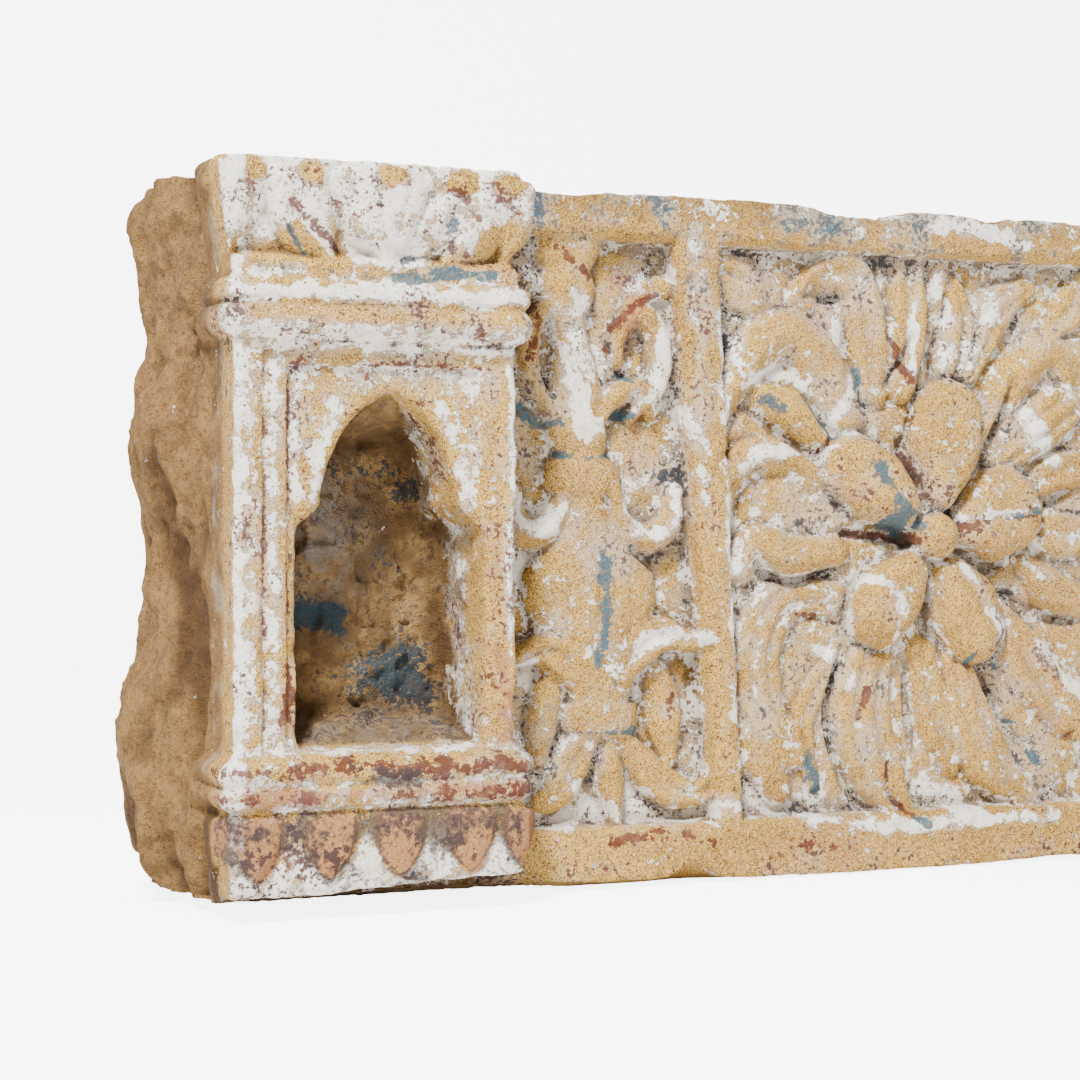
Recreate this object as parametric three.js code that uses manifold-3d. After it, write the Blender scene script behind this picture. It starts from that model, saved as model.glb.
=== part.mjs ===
// A carved sandstone wall panel in one block: a small pier with a lamp niche at the left end,
// then a sunk field with a leafy baluster, then a sunk field with a rosette in a wreath of leaves.
// Millimetres. X runs along the wall, Y into it, Z up. The carved face looks towards -Y.
import * as THREE from "three";
import { mergeVertices } from "three/addons/utils/BufferGeometryUtils.js";
import Module from "manifold-3d";

// Sizes of the block. Heights are measured from the plinth line, BED above the wall's underside and
// PIER_FOOT above the pier's.
const BED = 13;
const PIER_FOOT = 6;
const WALL_THICKNESS = 125;
const PIER_STEP = 50;

// Sizes along the wall, from the pier's left corner to the cut end.
const LEFT_JAMB = 38;
const NICHE_WIDTH = 108;
const RIGHT_JAMB = 20;
const BALUSTER_FIELD = 150;
const STRIP_WIDTH = 29;
const ROSETTE_FIELD = 292;
const END_STRIP = 24;
const STRIP_LEAN = 0.084;
const STRIP_TAPER = 0.035;

// Heights of the pier's parts, from the plinth line up.
const PLINTH_HEIGHT = 47;
const BASE_ROLL_RADIUS = 6.5;
const NICHE_HEIGHT = 198;
const NICHE_SPRING = 120;
const NICHE_HEAD = 27;
const CAP_ROLL_RADIUS = 10;
const CAP_BAND = 11;
const CAP_NECK = 9;
const CAPITAL_HEIGHT = 57;

// Depths of the pier's parts. The mouldings stand JAMB_SET_BACK in front of the jamb face.
const JAMB_SET_BACK = 10;
const PIER_CORNER = 3;
const BASE_ROLL_REACH = 8;
const CAP_ROLL_REACH = 9;
const CAPITAL_FLARE = 12;
const CAPITAL_ROUND = 3;
const PLINTH_REACH = 4;
const NICHE_DEPTH = 65;
const CUSP_STEP = 13;
const OUTER_FRAME_SHARE = 0.35;
const OUTER_FRAME_DEPTH = 2.5;
const INNER_FRAME_SHARE = 0.7;
const INNER_FRAME_DEPTH = 4;

// Sizes of the two sunk fields.
const FIELD_SINK = 18;
const FOOT_BAND = 36;
const TOP_BAND = 28;

// Sizes of the carving. Free forms are shares of their own size.
const ROOT = 4;
const PENDANT_WIDTH = 28;
const PENDANT_DROP = 33;
const PENDANT_PITCH = 41;
const PENDANT_RELIEF = 3.5;
const CAPITAL_LEAF_RELIEF = 5;
const BALUSTER_RELIEF = 17;
const ROSETTE_RADIUS = 98;
const PETAL_RELIEF = 26;
const BOSS_RADIUS = 17;
const WREATH_RELIEF = 15;

// The mouldings stack up from the plinth line to the top of the capital.
const SEAM = 1;
const lowerRollFoot = PLINTH_HEIGHT + SEAM;
const upperRollFoot = lowerRollFoot + 2 * BASE_ROLL_RADIUS + SEAM;
const nicheSill = upperRollFoot + 2 * BASE_ROLL_RADIUS + 3 * SEAM;
const nicheSpring = nicheSill + NICHE_SPRING;
const nicheApex = nicheSill + NICHE_HEIGHT;
const capRollFoot = nicheApex + NICHE_HEAD;
const bandFoot = capRollFoot + 2 * CAP_ROLL_RADIUS;
const bandTop = bandFoot + CAP_BAND;
const capitalFoot = bandTop + CAP_NECK;
const top = capitalFoot + CAPITAL_HEIGHT;

// Places along the wall. The strip between the fields leans, so the fields do too.
const pierWidth = LEFT_JAMB + NICHE_WIDTH + RIGHT_JAMB;
const nicheCentre = LEFT_JAMB + NICHE_WIDTH / 2;
const fieldFoot = FOOT_BAND - BED;
const fieldTop = top - TOP_BAND;
const fieldHeight = fieldTop - fieldFoot;
const fieldMiddle = (fieldTop + fieldFoot) / 2;
const groundY = PIER_STEP + FIELD_SINK;
const stripLeft = (z) => pierWidth + BALUSTER_FIELD - STRIP_LEAN * (z - fieldFoot);
const stripRight = (z) => stripLeft(fieldTop) + STRIP_WIDTH + (STRIP_LEAN - STRIP_TAPER) * (fieldTop - z);
const balusterAxis = (z) => stripLeft(z) - (stripLeft(fieldMiddle) - pierWidth) / 2;
const rosetteCentreX = stripRight(fieldMiddle) + ROSETTE_FIELD / 2;
const rosetteFieldEnd = rosetteCentreX + ROSETTE_FIELD / 2;
const wallLength = rosetteFieldEnd + END_STRIP;

const wasm = await Module();
wasm.setup();

// Turns closed three.js geometry into a solid that can be joined and cut.
function solidOf(geometry) {
  const bare = geometry.clone();
  for (const name of Object.keys(bare.attributes)) {
    if (name !== "position") bare.deleteAttribute(name);
  }
  const merged = mergeVertices(bare, 1e-4);
  const index = Uint32Array.from(merged.index.array);
  const vertProperties = Float32Array.from(merged.attributes.position.array);
  if (signedVolume(vertProperties, index) < 0) {
    for (let i = 0; i < index.length; i += 3) [index[i], index[i + 1]] = [index[i + 1], index[i]];
  }
  return new wasm.Manifold(new wasm.Mesh({ numProp: 3, vertProperties, triVerts: index }));
}

function signedVolume(points, index) {
  const [a, b, c] = [new THREE.Vector3(), new THREE.Vector3(), new THREE.Vector3()];
  let sum = 0;
  for (let i = 0; i < index.length; i += 3) {
    a.fromArray(points, 3 * index[i]);
    b.fromArray(points, 3 * index[i + 1]);
    c.fromArray(points, 3 * index[i + 2]);
    sum += a.dot(b.cross(c));
  }
  return sum;
}

function geometryOf(solid) {
  const mesh = solid.getMesh();
  const geometry = new THREE.BufferGeometry();
  geometry.setAttribute("position", new THREE.BufferAttribute(mesh.vertProperties, 3));
  geometry.setIndex(new THREE.BufferAttribute(mesh.triVerts, 1));
  geometry.computeVertexNormals();
  return geometry;
}

// Skins a row of rings with equal numbers of points and closes both ends with a fan.
function loft(rings) {
  const count = rings[0].length;
  const points = rings.flat();
  const index = [];
  for (let r = 0; r + 1 < rings.length; r++) {
    for (let i = 0; i < count; i++) {
      const j = (i + 1) % count;
      const [a, b, c, d] = [r * count + i, r * count + j, (r + 1) * count + j, (r + 1) * count + i];
      index.push(a, b, c, a, c, d);
    }
  }
  const closeEnd = (ring, start, flip) => {
    const middle = ring.reduce((sum, p) => sum.add(p), new THREE.Vector3()).divideScalar(count);
    const hub = points.push(middle) - 1;
    for (let i = 0; i < count; i++) {
      const j = (i + 1) % count;
      index.push(hub, start + (flip ? j : i), start + (flip ? i : j));
    }
  };
  closeEnd(rings[0], 0, true);
  closeEnd(rings[rings.length - 1], (rings.length - 1) * count, false);
  const geometry = new THREE.BufferGeometry().setFromPoints(points);
  geometry.setIndex(index);
  return solidOf(geometry);
}

// A prism of an outline drawn in X and Z, from front to back along Y.
function prism(outline, front, back) {
  const shape = new THREE.Shape(outline.map(([x, z]) => new THREE.Vector2(x, z)));
  const geometry = new THREE.ExtrudeGeometry(shape, { depth: back - front, bevelEnabled: false });
  geometry.rotateX(Math.PI / 2);
  geometry.translate(0, back, 0);
  return solidOf(geometry);
}

const smooth = (low, high, value) => THREE.MathUtils.smoothstep(value, low, high);
const bump = (value, centre, width) => Math.exp(-(((value - centre) / width) ** 2));

// Broken stone, as a sum of crossed waves that stays the same on every run.
function ripple(x, y, z) {
  return (
    0.5 * Math.sin(x / 23 + 1.3 * Math.sin(z / 31) + y / 17) +
    0.3 * Math.sin(x / 11 - z / 13 + 2) +
    0.2 * Math.sin(z / 7 + y / 9 + x / 19)
  );
}

// How far the rough left side swells past the pier, from the underside to the top.
const SIDE_SWELL = new THREE.SplineCurve(
  [[0, 6], [0.07, 22], [0.16, 30], [0.32, 19], [0.46, 8], [0.62, 22], [0.8, 8], [0.94, 18], [1, 10]].map(
    ([share, swell]) => new THREE.Vector2(share, swell),
  ),
);

// Dips in the worn top edge and chips in the lower front edge: place and width in percent of the
// wall's length, then depth in millimetres.
const TOP_DIPS = [[33, 5, 3], [63, 3.5, 6], [68, 3, 5], [80, 2.5, 4], [94, 5, 3]];
const FOOT_CHIPS = [[20, 22, 8], [28, 1.6, 2], [46.5, 2.2, 11], [88, 8, 2]];
const FOOT_RISE = 16;
const BACK_BREAK = 5;

// The wall block, hewn rough at the left, the top and the back edges, and cut square at the right.
function wallBlock() {
  const [alongSteps, deepSteps, highSteps] = [20, 4, 13];
  const height = top + BED;
  const geometry = new THREE.BoxGeometry(
    wallLength, WALL_THICKNESS, height, alongSteps, deepSteps, highSteps,
  );
  geometry.translate(wallLength / 2, PIER_STEP + WALL_THICKNESS / 2, height / 2 - BED);
  const place = geometry.attributes.position;
  const p = new THREE.Vector3();
  const worn = (marks, x) => marks.reduce((sum, [at, width, depth]) => sum + depth * bump(x, at, width), 0);
  for (let i = 0; i < place.count; i++) {
    p.fromBufferAttribute(place, i);
    const along = p.x / wallLength;
    const deep = (p.y - PIER_STEP) / WALL_THICKNESS;
    const high = (p.z + BED) / height;
    const wave = ripple(p.x, p.y, p.z);
    const leftward = 1 - smooth(0, 0.09, along);
    const kept = 1 - smooth(0.96, 1, along);
    const atBack = smooth(0.8, 1, deep);
    const atTop = smooth(0.93, 1, high);
    const atFoot = 1 - smooth(0, 0.07, high);
    const atFront = 1 - smooth(0, 0.2, deep);
    const swell = smooth(0, 0.5, deep) * (1 - 0.3 * atBack) * (SIDE_SWELL.getPoint(high).y + 4 * wave);
    p.x -= leftward * swell;
    p.z -= atTop * (worn(TOP_DIPS, 100 * along) + 2 * atBack * kept * (1 + wave));
    p.z += atFoot * (atFront * worn(FOOT_CHIPS, 100 * along) + leftward * smooth(0.3, 1, deep) * FOOT_RISE);
    p.y -= atBack * (atTop + leftward) * kept * BACK_BREAK * (1 + 0.8 * wave);
    place.setXYZ(i, p.x, p.y, p.z);
  }
  return solidOf(geometry);
}

// Half a roll moulding as [height, reach] steps.
function roll(foot, radius, reach, floor, steps = 6) {
  return Array.from({ length: steps + 1 }, (_, i) => {
    const angle = Math.PI * (i / steps - 0.5);
    return [foot + radius * (1 + Math.sin(angle)), floor + (reach - floor) * Math.cos(angle)];
  });
}

// The pier's profile, from its foot up: height, and how far it stands out from the jamb.
const PIER_PROFILE = [
  [-PIER_FOOT, 1],
  [2 * SEAM, PLINTH_REACH - 1],
  [PLINTH_HEIGHT - 2 * SEAM, PLINTH_REACH],
  [PLINTH_HEIGHT, 1],
  ...roll(lowerRollFoot, BASE_ROLL_RADIUS, BASE_ROLL_REACH, 2),
  ...roll(upperRollFoot, BASE_ROLL_RADIUS, BASE_ROLL_REACH, 2),
  [nicheSill - SEAM, 2],
  [nicheSill + SEAM, 0],
  [capRollFoot - SEAM, 0],
  ...roll(capRollFoot, CAP_ROLL_RADIUS, CAP_ROLL_REACH, 1),
  [bandFoot + 0.5 * SEAM, 7],
  [bandTop, 6],
  [bandTop + 2 * SEAM, 1],
  ...[0, 0.15, 0.4, 0.7, 0.95].map((share) => [capitalFoot + share * CAPITAL_HEIGHT, capitalReach(share)]),
  [top, CAPITAL_FLARE - CAPITAL_ROUND],
];

function capitalReach(share) {
  return 1 + (CAPITAL_FLARE - 1) * smooth(-0.1, 1, share) ** 0.8;
}

function pierShaft() {
  const back = groundY + ROOT;
  const rings = PIER_PROFILE.map(([z, reach]) => {
    const right = pierWidth + (z > capitalFoot ? 0 : reach);
    const front = JAMB_SET_BACK - reach;
    const c = PIER_CORNER;
    return [
      [-reach, back],
      [-reach, front + c],
      [-reach + c * 0.3, front + c * 0.3],
      [-reach + c, front],
      [right - c, front],
      [right - c * 0.3, front + c * 0.3],
      [right, front + c],
      [right, back],
    ].map(([x, y]) => new THREE.Vector3(x, y, z));
  });
  return loft(rings);
}

// The niche's opening: straight jambs, a cusp at each spring and a pointed ogee head.
function nicheOutline() {
  const half = NICHE_WIDTH / 2;
  const rise = nicheApex - nicheSpring;
  const neck = half - CUSP_STEP;
  const head = new THREE.Shape();
  head.moveTo(half, nicheSpring);
  head.quadraticCurveTo(half - 2, nicheSpring + 0.12 * rise, neck, nicheSpring + 0.13 * rise);
  head.bezierCurveTo(neck, nicheSpring + 0.6 * rise, 0.5 * half, nicheSpring + 0.8 * rise, 0, nicheApex);
  const curve = head.getPoints(6).map((q) => [q.x, q.y]);
  const right = [[half, nicheSill], ...curve];
  const left = right.slice(0, -1).reverse().map(([x, z]) => [-x, z]);
  return [...right, ...left].map(([x, z]) => [nicheCentre + x, z]);
}

// The hollow behind the opening, rough and rounded at the back.
function nicheHollow() {
  const outline = nicheOutline();
  const face = JAMB_SET_BACK;
  const middle = [nicheCentre, (nicheSill + nicheSpring) / 2];
  const stations = [
    [-face, 1, 0],
    [face + 0.2 * NICHE_DEPTH, 1, 0],
    [face + 0.6 * NICHE_DEPTH, 1.01, 3],
    [face + 0.88 * NICHE_DEPTH, 0.9, 3],
    [face + NICHE_DEPTH, 0.62, 0],
  ];
  const rings = stations.map(([y, scale, rough]) =>
    outline.map(([x, z]) => {
      const wave = rough * ripple(3 * x, y, 3 * z);
      return new THREE.Vector3(
        middle[0] + (x - middle[0]) * scale + wave,
        y + wave,
        middle[1] + (z - middle[1]) * scale + wave,
      );
    }),
  );
  return loft(rings);
}

// One step of the frame sunk round the niche, a share of the way from the pier's edge to the opening.
function sunkFrame(share, depth) {
  const [left, right] = [share * LEFT_JAMB, pierWidth - share * RIGHT_JAMB];
  const head = capRollFoot - share * NICHE_HEAD;
  const foot = nicheSill + SEAM;
  return prism([[left, foot], [right, foot], [right, head], [left, head]], 0, JAMB_SET_BACK + depth);
}

function balusterField() {
  const behindPier = pierWidth - JAMB_SET_BACK;
  return prism(
    [
      [behindPier, fieldFoot],
      [stripLeft(fieldFoot), fieldFoot],
      [stripLeft(fieldTop), fieldTop],
      [behindPier, fieldTop],
    ],
    PIER_STEP - FIELD_SINK,
    groundY,
  );
}

function rosetteField() {
  return prism(
    [
      [stripRight(fieldFoot), fieldFoot],
      [rosetteFieldEnd, fieldFoot],
      [rosetteFieldEnd, fieldTop],
      [stripRight(fieldTop), fieldTop],
    ],
    PIER_STEP - FIELD_SINK,
    groundY,
  );
}

// A bowed line from one point to another. The bow is a share of its length, to the left positive.
function arc(from, to, bow) {
  const [a, b] = [new THREE.Vector3(from[0], 0, from[1]), new THREE.Vector3(to[0], 0, to[1])];
  const chord = b.clone().sub(a);
  const leftHand = new THREE.Vector3(-chord.z, 0, chord.x);
  const middle = a.clone().addScaledVector(chord, 0.5).addScaledVector(leftHand, 2 * bow);
  return new THREE.QuadraticBezierCurve3(a, middle, b);
}

// A carved blade: it follows a line and stands up from a ground, with a shallow gouge down its back.
// Base and tip are shares of the width, gouge and rise shares of the relief.
const PLAIN_BLADE = { base: 0.6, tip: 0.45, gouge: 0.3, rise: 0.75, groundAt: () => groundY };
const BLADE_STEPS = 7;

function blade(choices) {
  const { line, width, relief, base, tip, gouge, rise, groundAt } = { ...PLAIN_BLADE, ...choices };
  const { lerp } = THREE.MathUtils;
  const rings = [];
  for (let i = 0; i <= BLADE_STEPS; i++) {
    const t = i / BLADE_STEPS;
    const at = line.getPointAt(t);
    const along = line.getTangentAt(t);
    const across = new THREE.Vector3(-along.z, 0, along.x);
    const swell = Math.sin(Math.PI * (0.12 + 0.8 * t)) ** 0.6;
    const ends = lerp(base, 1, smooth(0, 0.35, t)) * lerp(1, tip, smooth(0.75, 1, t));
    const half = (width / 2) * swell * ends;
    const lift = relief * lerp(rise, 1, smooth(0, 0.5, t)) * (1 - 0.35 * smooth(0.75, 1, t));
    const section = [
      [-1, -ROOT],
      [-1, 0.45 * lift],
      [-0.62, 0.94 * lift],
      [0, (1 - gouge) * lift],
      [0.62, 0.94 * lift],
      [1, 0.45 * lift],
      [1, -ROOT],
    ];
    rings.push(
      section.map(([side, height]) => {
        const point = at.clone().addScaledVector(across, side * half);
        point.y = groundAt(point.z) - height;
        return point;
      }),
    );
  }
  return loft(rings);
}

// Half of a turned form, standing out of the ground: rows of [height, half width] about a leaning axis.
function turned(rows, axisAt, relief, ground, widest) {
  const around = 7;
  const rings = rows.map(([z, half]) => {
    const stand = relief * Math.sqrt(Math.min(1, half / widest));
    const points = [[-1, -ROOT]];
    for (let i = 0; i <= around; i++) {
      const angle = Math.PI * (1 - i / around);
      points.push([Math.cos(angle), stand * (0.2 + 0.8 * Math.sin(angle))]);
    }
    points.push([1, -ROOT]);
    return points.map(([side, height]) => new THREE.Vector3(axisAt(z) + side * half, ground - height, z));
  });
  return loft(rings);
}

// The baluster's outline, in percent of the field's height: how far up, and the half width.
const BALUSTER_ROWS = [
  [15, 2.5], [16.5, 6.6], [20.5, 6.8], [22, 4.5], [24, 6.5], [30, 9.5], [35, 8.5],
  [45, 13.5], [50, 9], [55, 4.4], [57.2, 5], [57.8, 7.4], [62, 7.4], [62.8, 4.6],
  [65, 5], [70, 6], [76, 4.6], [84, 2.8], [87.5, 2.5], [88.5, 5], [93.5, 4.9], [94.5, 4], [99, 7], [102, 7.2],
];

// Leaves of the baluster's right side, in percent of the field's height out from the axis and up
// from the foot: from, to, bow, width, then share of the relief. Each is carved again on the left.
const BALUSTER_LEAVES = [
  { from: [2, 15], to: [20, 6], bow: -0.24, width: 9, share: 0.8 },
  { from: [0.6, 23], to: [18, 31], bow: 0.2, width: 10, share: 1 },
  { from: [13, 29], to: [15.5, 10], bow: 0.04, width: 8, share: 0.5 },
  { from: [3, 57], to: [16, 57], bow: -0.4, width: 7.5, share: 0.85 },
  { from: [5, 66], to: [9, 88], bow: -0.36, width: 7, share: 0.7 },
];
const BALUSTER_TONGUE = { from: [0.6, 16], to: [1.5, 1], bow: 0, width: 7.5, share: 0.75 };

function balusterCarving() {
  const unit = fieldHeight / 100;
  const heightAt = (percent) => fieldFoot + percent * unit;
  const widest = Math.max(...BALUSTER_ROWS.map(([, half]) => half)) * unit;
  const rows = BALUSTER_ROWS.map(([up, half]) => [heightAt(up), half * unit]);
  const leaf = ({ from, to, bow, width, share }, side) => {
    const place = ([out, up]) => [balusterAxis(heightAt(up)) + side * out * unit, heightAt(up)];
    const line = arc(place(from), place(to), side * bow);
    return blade({ line, width: width * unit, relief: share * BALUSTER_RELIEF });
  };
  return [
    turned(rows, balusterAxis, BALUSTER_RELIEF, groundY, widest),
    ...BALUSTER_LEAVES.flatMap((row) => [leaf(row, 1), leaf(row, -1)]),
    leaf(BALUSTER_TONGUE, 1),
  ];
}

// The five petals: angle in degrees, then length and width as shares of the rosette's radius.
const PETALS = [[82, 1, 0.62], [141, 0.86, 0.6], [236, 0.84, 0.58], [299, 0.9, 0.64], [12, 0.88, 0.7]];
const PETAL_ROOT = 0.1;
const PETAL_GOUGE = -0.06;
const BOSS_RISE = 1.25;

function rosetteCarving() {
  const pieces = PETALS.map(([degrees, length, width]) => {
    const angle = THREE.MathUtils.degToRad(degrees);
    const place = (share) => [
      rosetteCentreX + Math.cos(angle) * share * length * ROSETTE_RADIUS,
      fieldMiddle + Math.sin(angle) * share * length * ROSETTE_RADIUS,
    ];
    const line = arc(place(PETAL_ROOT), place(1), 0);
    return blade({ line, width: width * ROSETTE_RADIUS, relief: PETAL_RELIEF, tip: 0.8, gouge: PETAL_GOUGE });
  });
  const boss = new THREE.SphereGeometry(BOSS_RADIUS, 14, 10);
  boss.scale(1, (BOSS_RISE * PETAL_RELIEF) / BOSS_RADIUS, 1);
  boss.translate(rosetteCentreX, groundY, fieldMiddle);
  return [...pieces, solidOf(boss)];
}

// The wreath's leaves, clockwise from the top. Places are percent of half the field's width and
// height from its middle: from, to, bow, width in percent of half the height, share of the relief.
const WREATH_LEAVES = [
  { from: [-8, 59], to: [-11, 97], bow: 0, width: 20, share: 1 },
  { from: [8, 59], to: [31, 96], bow: 0.12, width: 21, share: 0.95 },
  { from: [24, 53], to: [78, 84], bow: 0.26, width: 24, share: 1 },
  { from: [39, 39], to: [95, 34], bow: 0.42, width: 26, share: 1.05 },
  { from: [51, 20], to: [97, 10], bow: 0.22, width: 22, share: 1 },
  { from: [56, 1], to: [98, -22], bow: 0.2, width: 20, share: 1.05 },
  { from: [48, -16], to: [94, -52], bow: 0.13, width: 23, share: 0.95 },
  { from: [37, -38], to: [80, -88], bow: 0.05, width: 27, share: 0.95 },
  { from: [14, -46], to: [54, -95], bow: -0.1, width: 24, share: 1 },
  { from: [-1, -44], to: [14, -82], bow: -0.06, width: 18, share: 0.95 },
  { from: [-18, -43], to: [-7, -97], bow: -0.2, width: 32, share: 1.05 },
  { from: [-36, -42], to: [-56, -86], bow: -0.16, width: 17, share: 0.85 },
  { from: [-38, -33], to: [-68, -73], bow: -0.3, width: 19, share: 1 },
  { from: [-42, -20], to: [-80, -82], bow: -0.32, width: 19, share: 0.9 },
  { from: [-44, -6], to: [-86, -5], bow: 0.13, width: 16, share: 1.15 },
  { from: [-43, 6], to: [-86, 4], bow: -0.08, width: 14, share: 1 },
  { from: [-44, 15], to: [-97, -24], bow: -0.4, width: 18, share: 0.9 },
  { from: [-49, 33], to: [-81, 50], bow: -0.05, width: 17, share: 1.15 },
  { from: [-41, 38], to: [-97, 39], bow: -0.42, width: 24, share: 1 },
  { from: [-27, 51], to: [-57, 84], bow: -0.3, width: 24, share: 1 },
];
const CORNER_LEAF = { reach: 0.92, run: 0.22, width: 20, share: 0.6 };

function wreathCarving() {
  const [halfWidth, halfHeight] = [ROSETTE_FIELD / 2, fieldHeight / 2];
  const leaf = ({ from, to, bow, width, share }) => {
    const place = ([x, z]) => [rosetteCentreX + (x * halfWidth) / 100, fieldMiddle + (z * halfHeight) / 100];
    const line = arc(place(from), place(to), bow);
    return blade({ line, width: (width * halfHeight) / 100, relief: share * WREATH_RELIEF });
  };
  const cornerLeaf = (sideX, sideZ) => {
    const { reach, run, width, share } = CORNER_LEAF;
    const from = [100 * sideX * reach, 100 * sideZ * (reach - run)];
    const to = [100 * sideX * (reach - run), 100 * sideZ * reach];
    return leaf({ from, to, bow: 0, width, share });
  };
  const corners = [[-1, 1], [1, 1], [1, -1], [-1, -1]].map(([sideX, sideZ]) => cornerLeaf(sideX, sideZ));
  return [...WREATH_LEAVES.map(leaf), ...corners];
}

// The low swelling that the wreath and the rosette are carved out of.
function wreathBed() {
  const bed = new THREE.SphereGeometry(1, 20, 8);
  bed.scale(0.44 * ROSETTE_FIELD, 0.45 * WREATH_RELIEF, 0.42 * fieldHeight);
  bed.translate(rosetteCentreX, groundY, fieldMiddle);
  return solidOf(bed);
}

// Pointed drops in a row along the plinth, one of them under the middle of the niche.
function pendants() {
  const half = PENDANT_WIDTH / 2;
  const head = PLINTH_HEIGHT - 3;
  const down = (share) => head - share * PENDANT_DROP;
  const outline = new THREE.Shape();
  outline.moveTo(-half, head);
  outline.lineTo(half, head);
  outline.bezierCurveTo(half + 2, down(0.5), 5, down(0.8), 0, down(1));
  outline.bezierCurveTo(-5, down(0.8), -half - 2, down(0.5), -half, head);
  const points = outline.getPoints(4).slice(0, -1);
  const face = JAMB_SET_BACK - PLINTH_REACH;
  const pendant = (x) => {
    const ring = (share, y) => {
      const centre = new THREE.Vector3(x, y, down(0.42));
      return points.map((q) => new THREE.Vector3(x + q.x, y, q.y).lerp(centre, 1 - share));
    };
    const back = ring(1, face + ROOT);
    const shoulder = ring(1, face - 0.5 * PENDANT_RELIEF);
    const crown = ring(0.7, face - PENDANT_RELIEF);
    return loft([back, shoulder, crown]);
  };
  const pieces = [];
  const first = nicheCentre - PENDANT_PITCH * Math.floor(nicheCentre / PENDANT_PITCH);
  for (let x = first; x + half < pierWidth; x += PENDANT_PITCH) pieces.push(pendant(x));
  return pieces;
}

// Hanging lotus leaves on the flared capital: place and width in percent of the pier's width, and
// how far down the tip hangs, as a share of the capital's height.
const CAPITAL_LEAVES = [
  [-1, 16, 0.9], [18, 26, 0.95], [35, 17, 0.88], [53, 30, 0.95], [70, 17, 0.88], [87, 25, 0.95],
];
const CAPITAL_RIM = 3;

function capitalCarving() {
  const faceAt = (z) =>
    JAMB_SET_BACK - capitalReach(THREE.MathUtils.clamp((z - capitalFoot) / CAPITAL_HEIGHT, 0, 1));
  return CAPITAL_LEAVES.map(([place, width, drop]) => {
    const x = (place * pierWidth) / 100;
    return blade({
      line: arc([x, top - CAPITAL_RIM], [x, top - CAPITAL_RIM - drop * (CAPITAL_HEIGHT - CAPITAL_RIM)], 0),
      width: (width * pierWidth) / 100,
      relief: CAPITAL_LEAF_RELIEF,
      base: 1.3,
      groundAt: faceAt,
    });
  });
}

const wall = wallBlock().subtract(balusterField()).subtract(rosetteField());
const pier = pierShaft()
  .subtract(sunkFrame(OUTER_FRAME_SHARE, OUTER_FRAME_DEPTH))
  .subtract(sunkFrame(INNER_FRAME_SHARE, OUTER_FRAME_DEPTH + INNER_FRAME_DEPTH));
const carving = [
  ...pendants(),
  ...capitalCarving(),
  ...balusterCarving(),
  ...rosetteCarving(),
  ...wreathCarving(),
  wreathBed(),
];
const stone = carving.reduce((sum, piece) => sum.add(piece), wall.add(pier)).subtract(nicheHollow());

const panelGeometry = geometryOf(stone);
panelGeometry.computeBoundingBox();
const box = panelGeometry.boundingBox;
panelGeometry.translate(-(box.min.x + box.max.x) / 2, -(box.min.y + box.max.y) / 2, -box.min.z);

const sandstone = new THREE.MeshStandardMaterial({ color: 0xd2ae70, roughness: 0.95, metalness: 0 });
const reliefPanel = new THREE.Mesh(panelGeometry, sandstone);
reliefPanel.name = "relief_panel";

const model = new THREE.Group();
model.add(reliefPanel);
export default model;
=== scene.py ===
"""A carved sandstone frieze panel with worn limewash and colour, built for Blender in metres.

The stone is worked out in its own millimetre frame: x along the wall from the pier's left corner,
y into the wall from the front of the mouldings, z up from the plinth line.
"""

import logging
import math
from dataclasses import dataclass, field, replace
from enum import Enum

import bpy
import numpy as np
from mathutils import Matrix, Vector


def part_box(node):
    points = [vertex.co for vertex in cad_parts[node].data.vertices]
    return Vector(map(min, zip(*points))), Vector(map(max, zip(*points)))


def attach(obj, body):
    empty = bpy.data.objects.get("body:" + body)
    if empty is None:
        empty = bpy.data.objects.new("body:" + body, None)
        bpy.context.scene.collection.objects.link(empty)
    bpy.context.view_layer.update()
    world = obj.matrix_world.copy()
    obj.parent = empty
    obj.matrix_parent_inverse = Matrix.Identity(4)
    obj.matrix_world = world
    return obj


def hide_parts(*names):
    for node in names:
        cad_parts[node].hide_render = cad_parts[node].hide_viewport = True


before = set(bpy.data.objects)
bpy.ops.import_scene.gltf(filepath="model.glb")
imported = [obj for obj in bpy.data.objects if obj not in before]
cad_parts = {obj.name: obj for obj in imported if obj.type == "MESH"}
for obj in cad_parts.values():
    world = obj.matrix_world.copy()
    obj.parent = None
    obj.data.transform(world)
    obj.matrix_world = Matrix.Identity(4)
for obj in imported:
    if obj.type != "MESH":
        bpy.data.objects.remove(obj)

log = logging.getLogger("panel")

NODE = "relief_panel"
PIECE = "carved_stone_panel"

MILLIMETRE = 0.001
BED = 13.0
TOP = 400.0
PIER_FOOT = -6.0
PIER_WIDTH = 166.0
PIER_FACE = 10.0
WALL_FACE = 50.0
GROUND = 68.0
BACK = 175.0
WALL_LENGTH = 640.2
FIELD_FOOT = 23.0
FIELD_TOP = 372.0
FIELD_MIDDLE = 197.5
ROSETTE_X = 470.2
ROSETTE_END = 616.2
NICHE_X = 92.0
NICHE_SILL = 78.0
NICHE_APEX = 276.0
CAPITAL_FOOT = 343.0
LOBE_PLACES = (6.0, 39.0, 86.0, 129.0, 156.0)
DROP_PLACES = (12.0, 52.0, 92.5, 134.0, 168.0)
RIDGE_RISE = 11.0
LESSER_RIDGE_RISE = 4.5
RIDGE_MEAN = 10.5
DROP_LINE = 43.0
DROP_HEIGHT = 34.0
DROP_WIDTH = 29.0

Points = tuple[tuple[float, float], ...]
Patch = tuple[Points, float, float]
Faces = list[tuple[int, ...]]
Shape = tuple[np.ndarray, Faces]
Colour = tuple[float, float, float, float]


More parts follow.
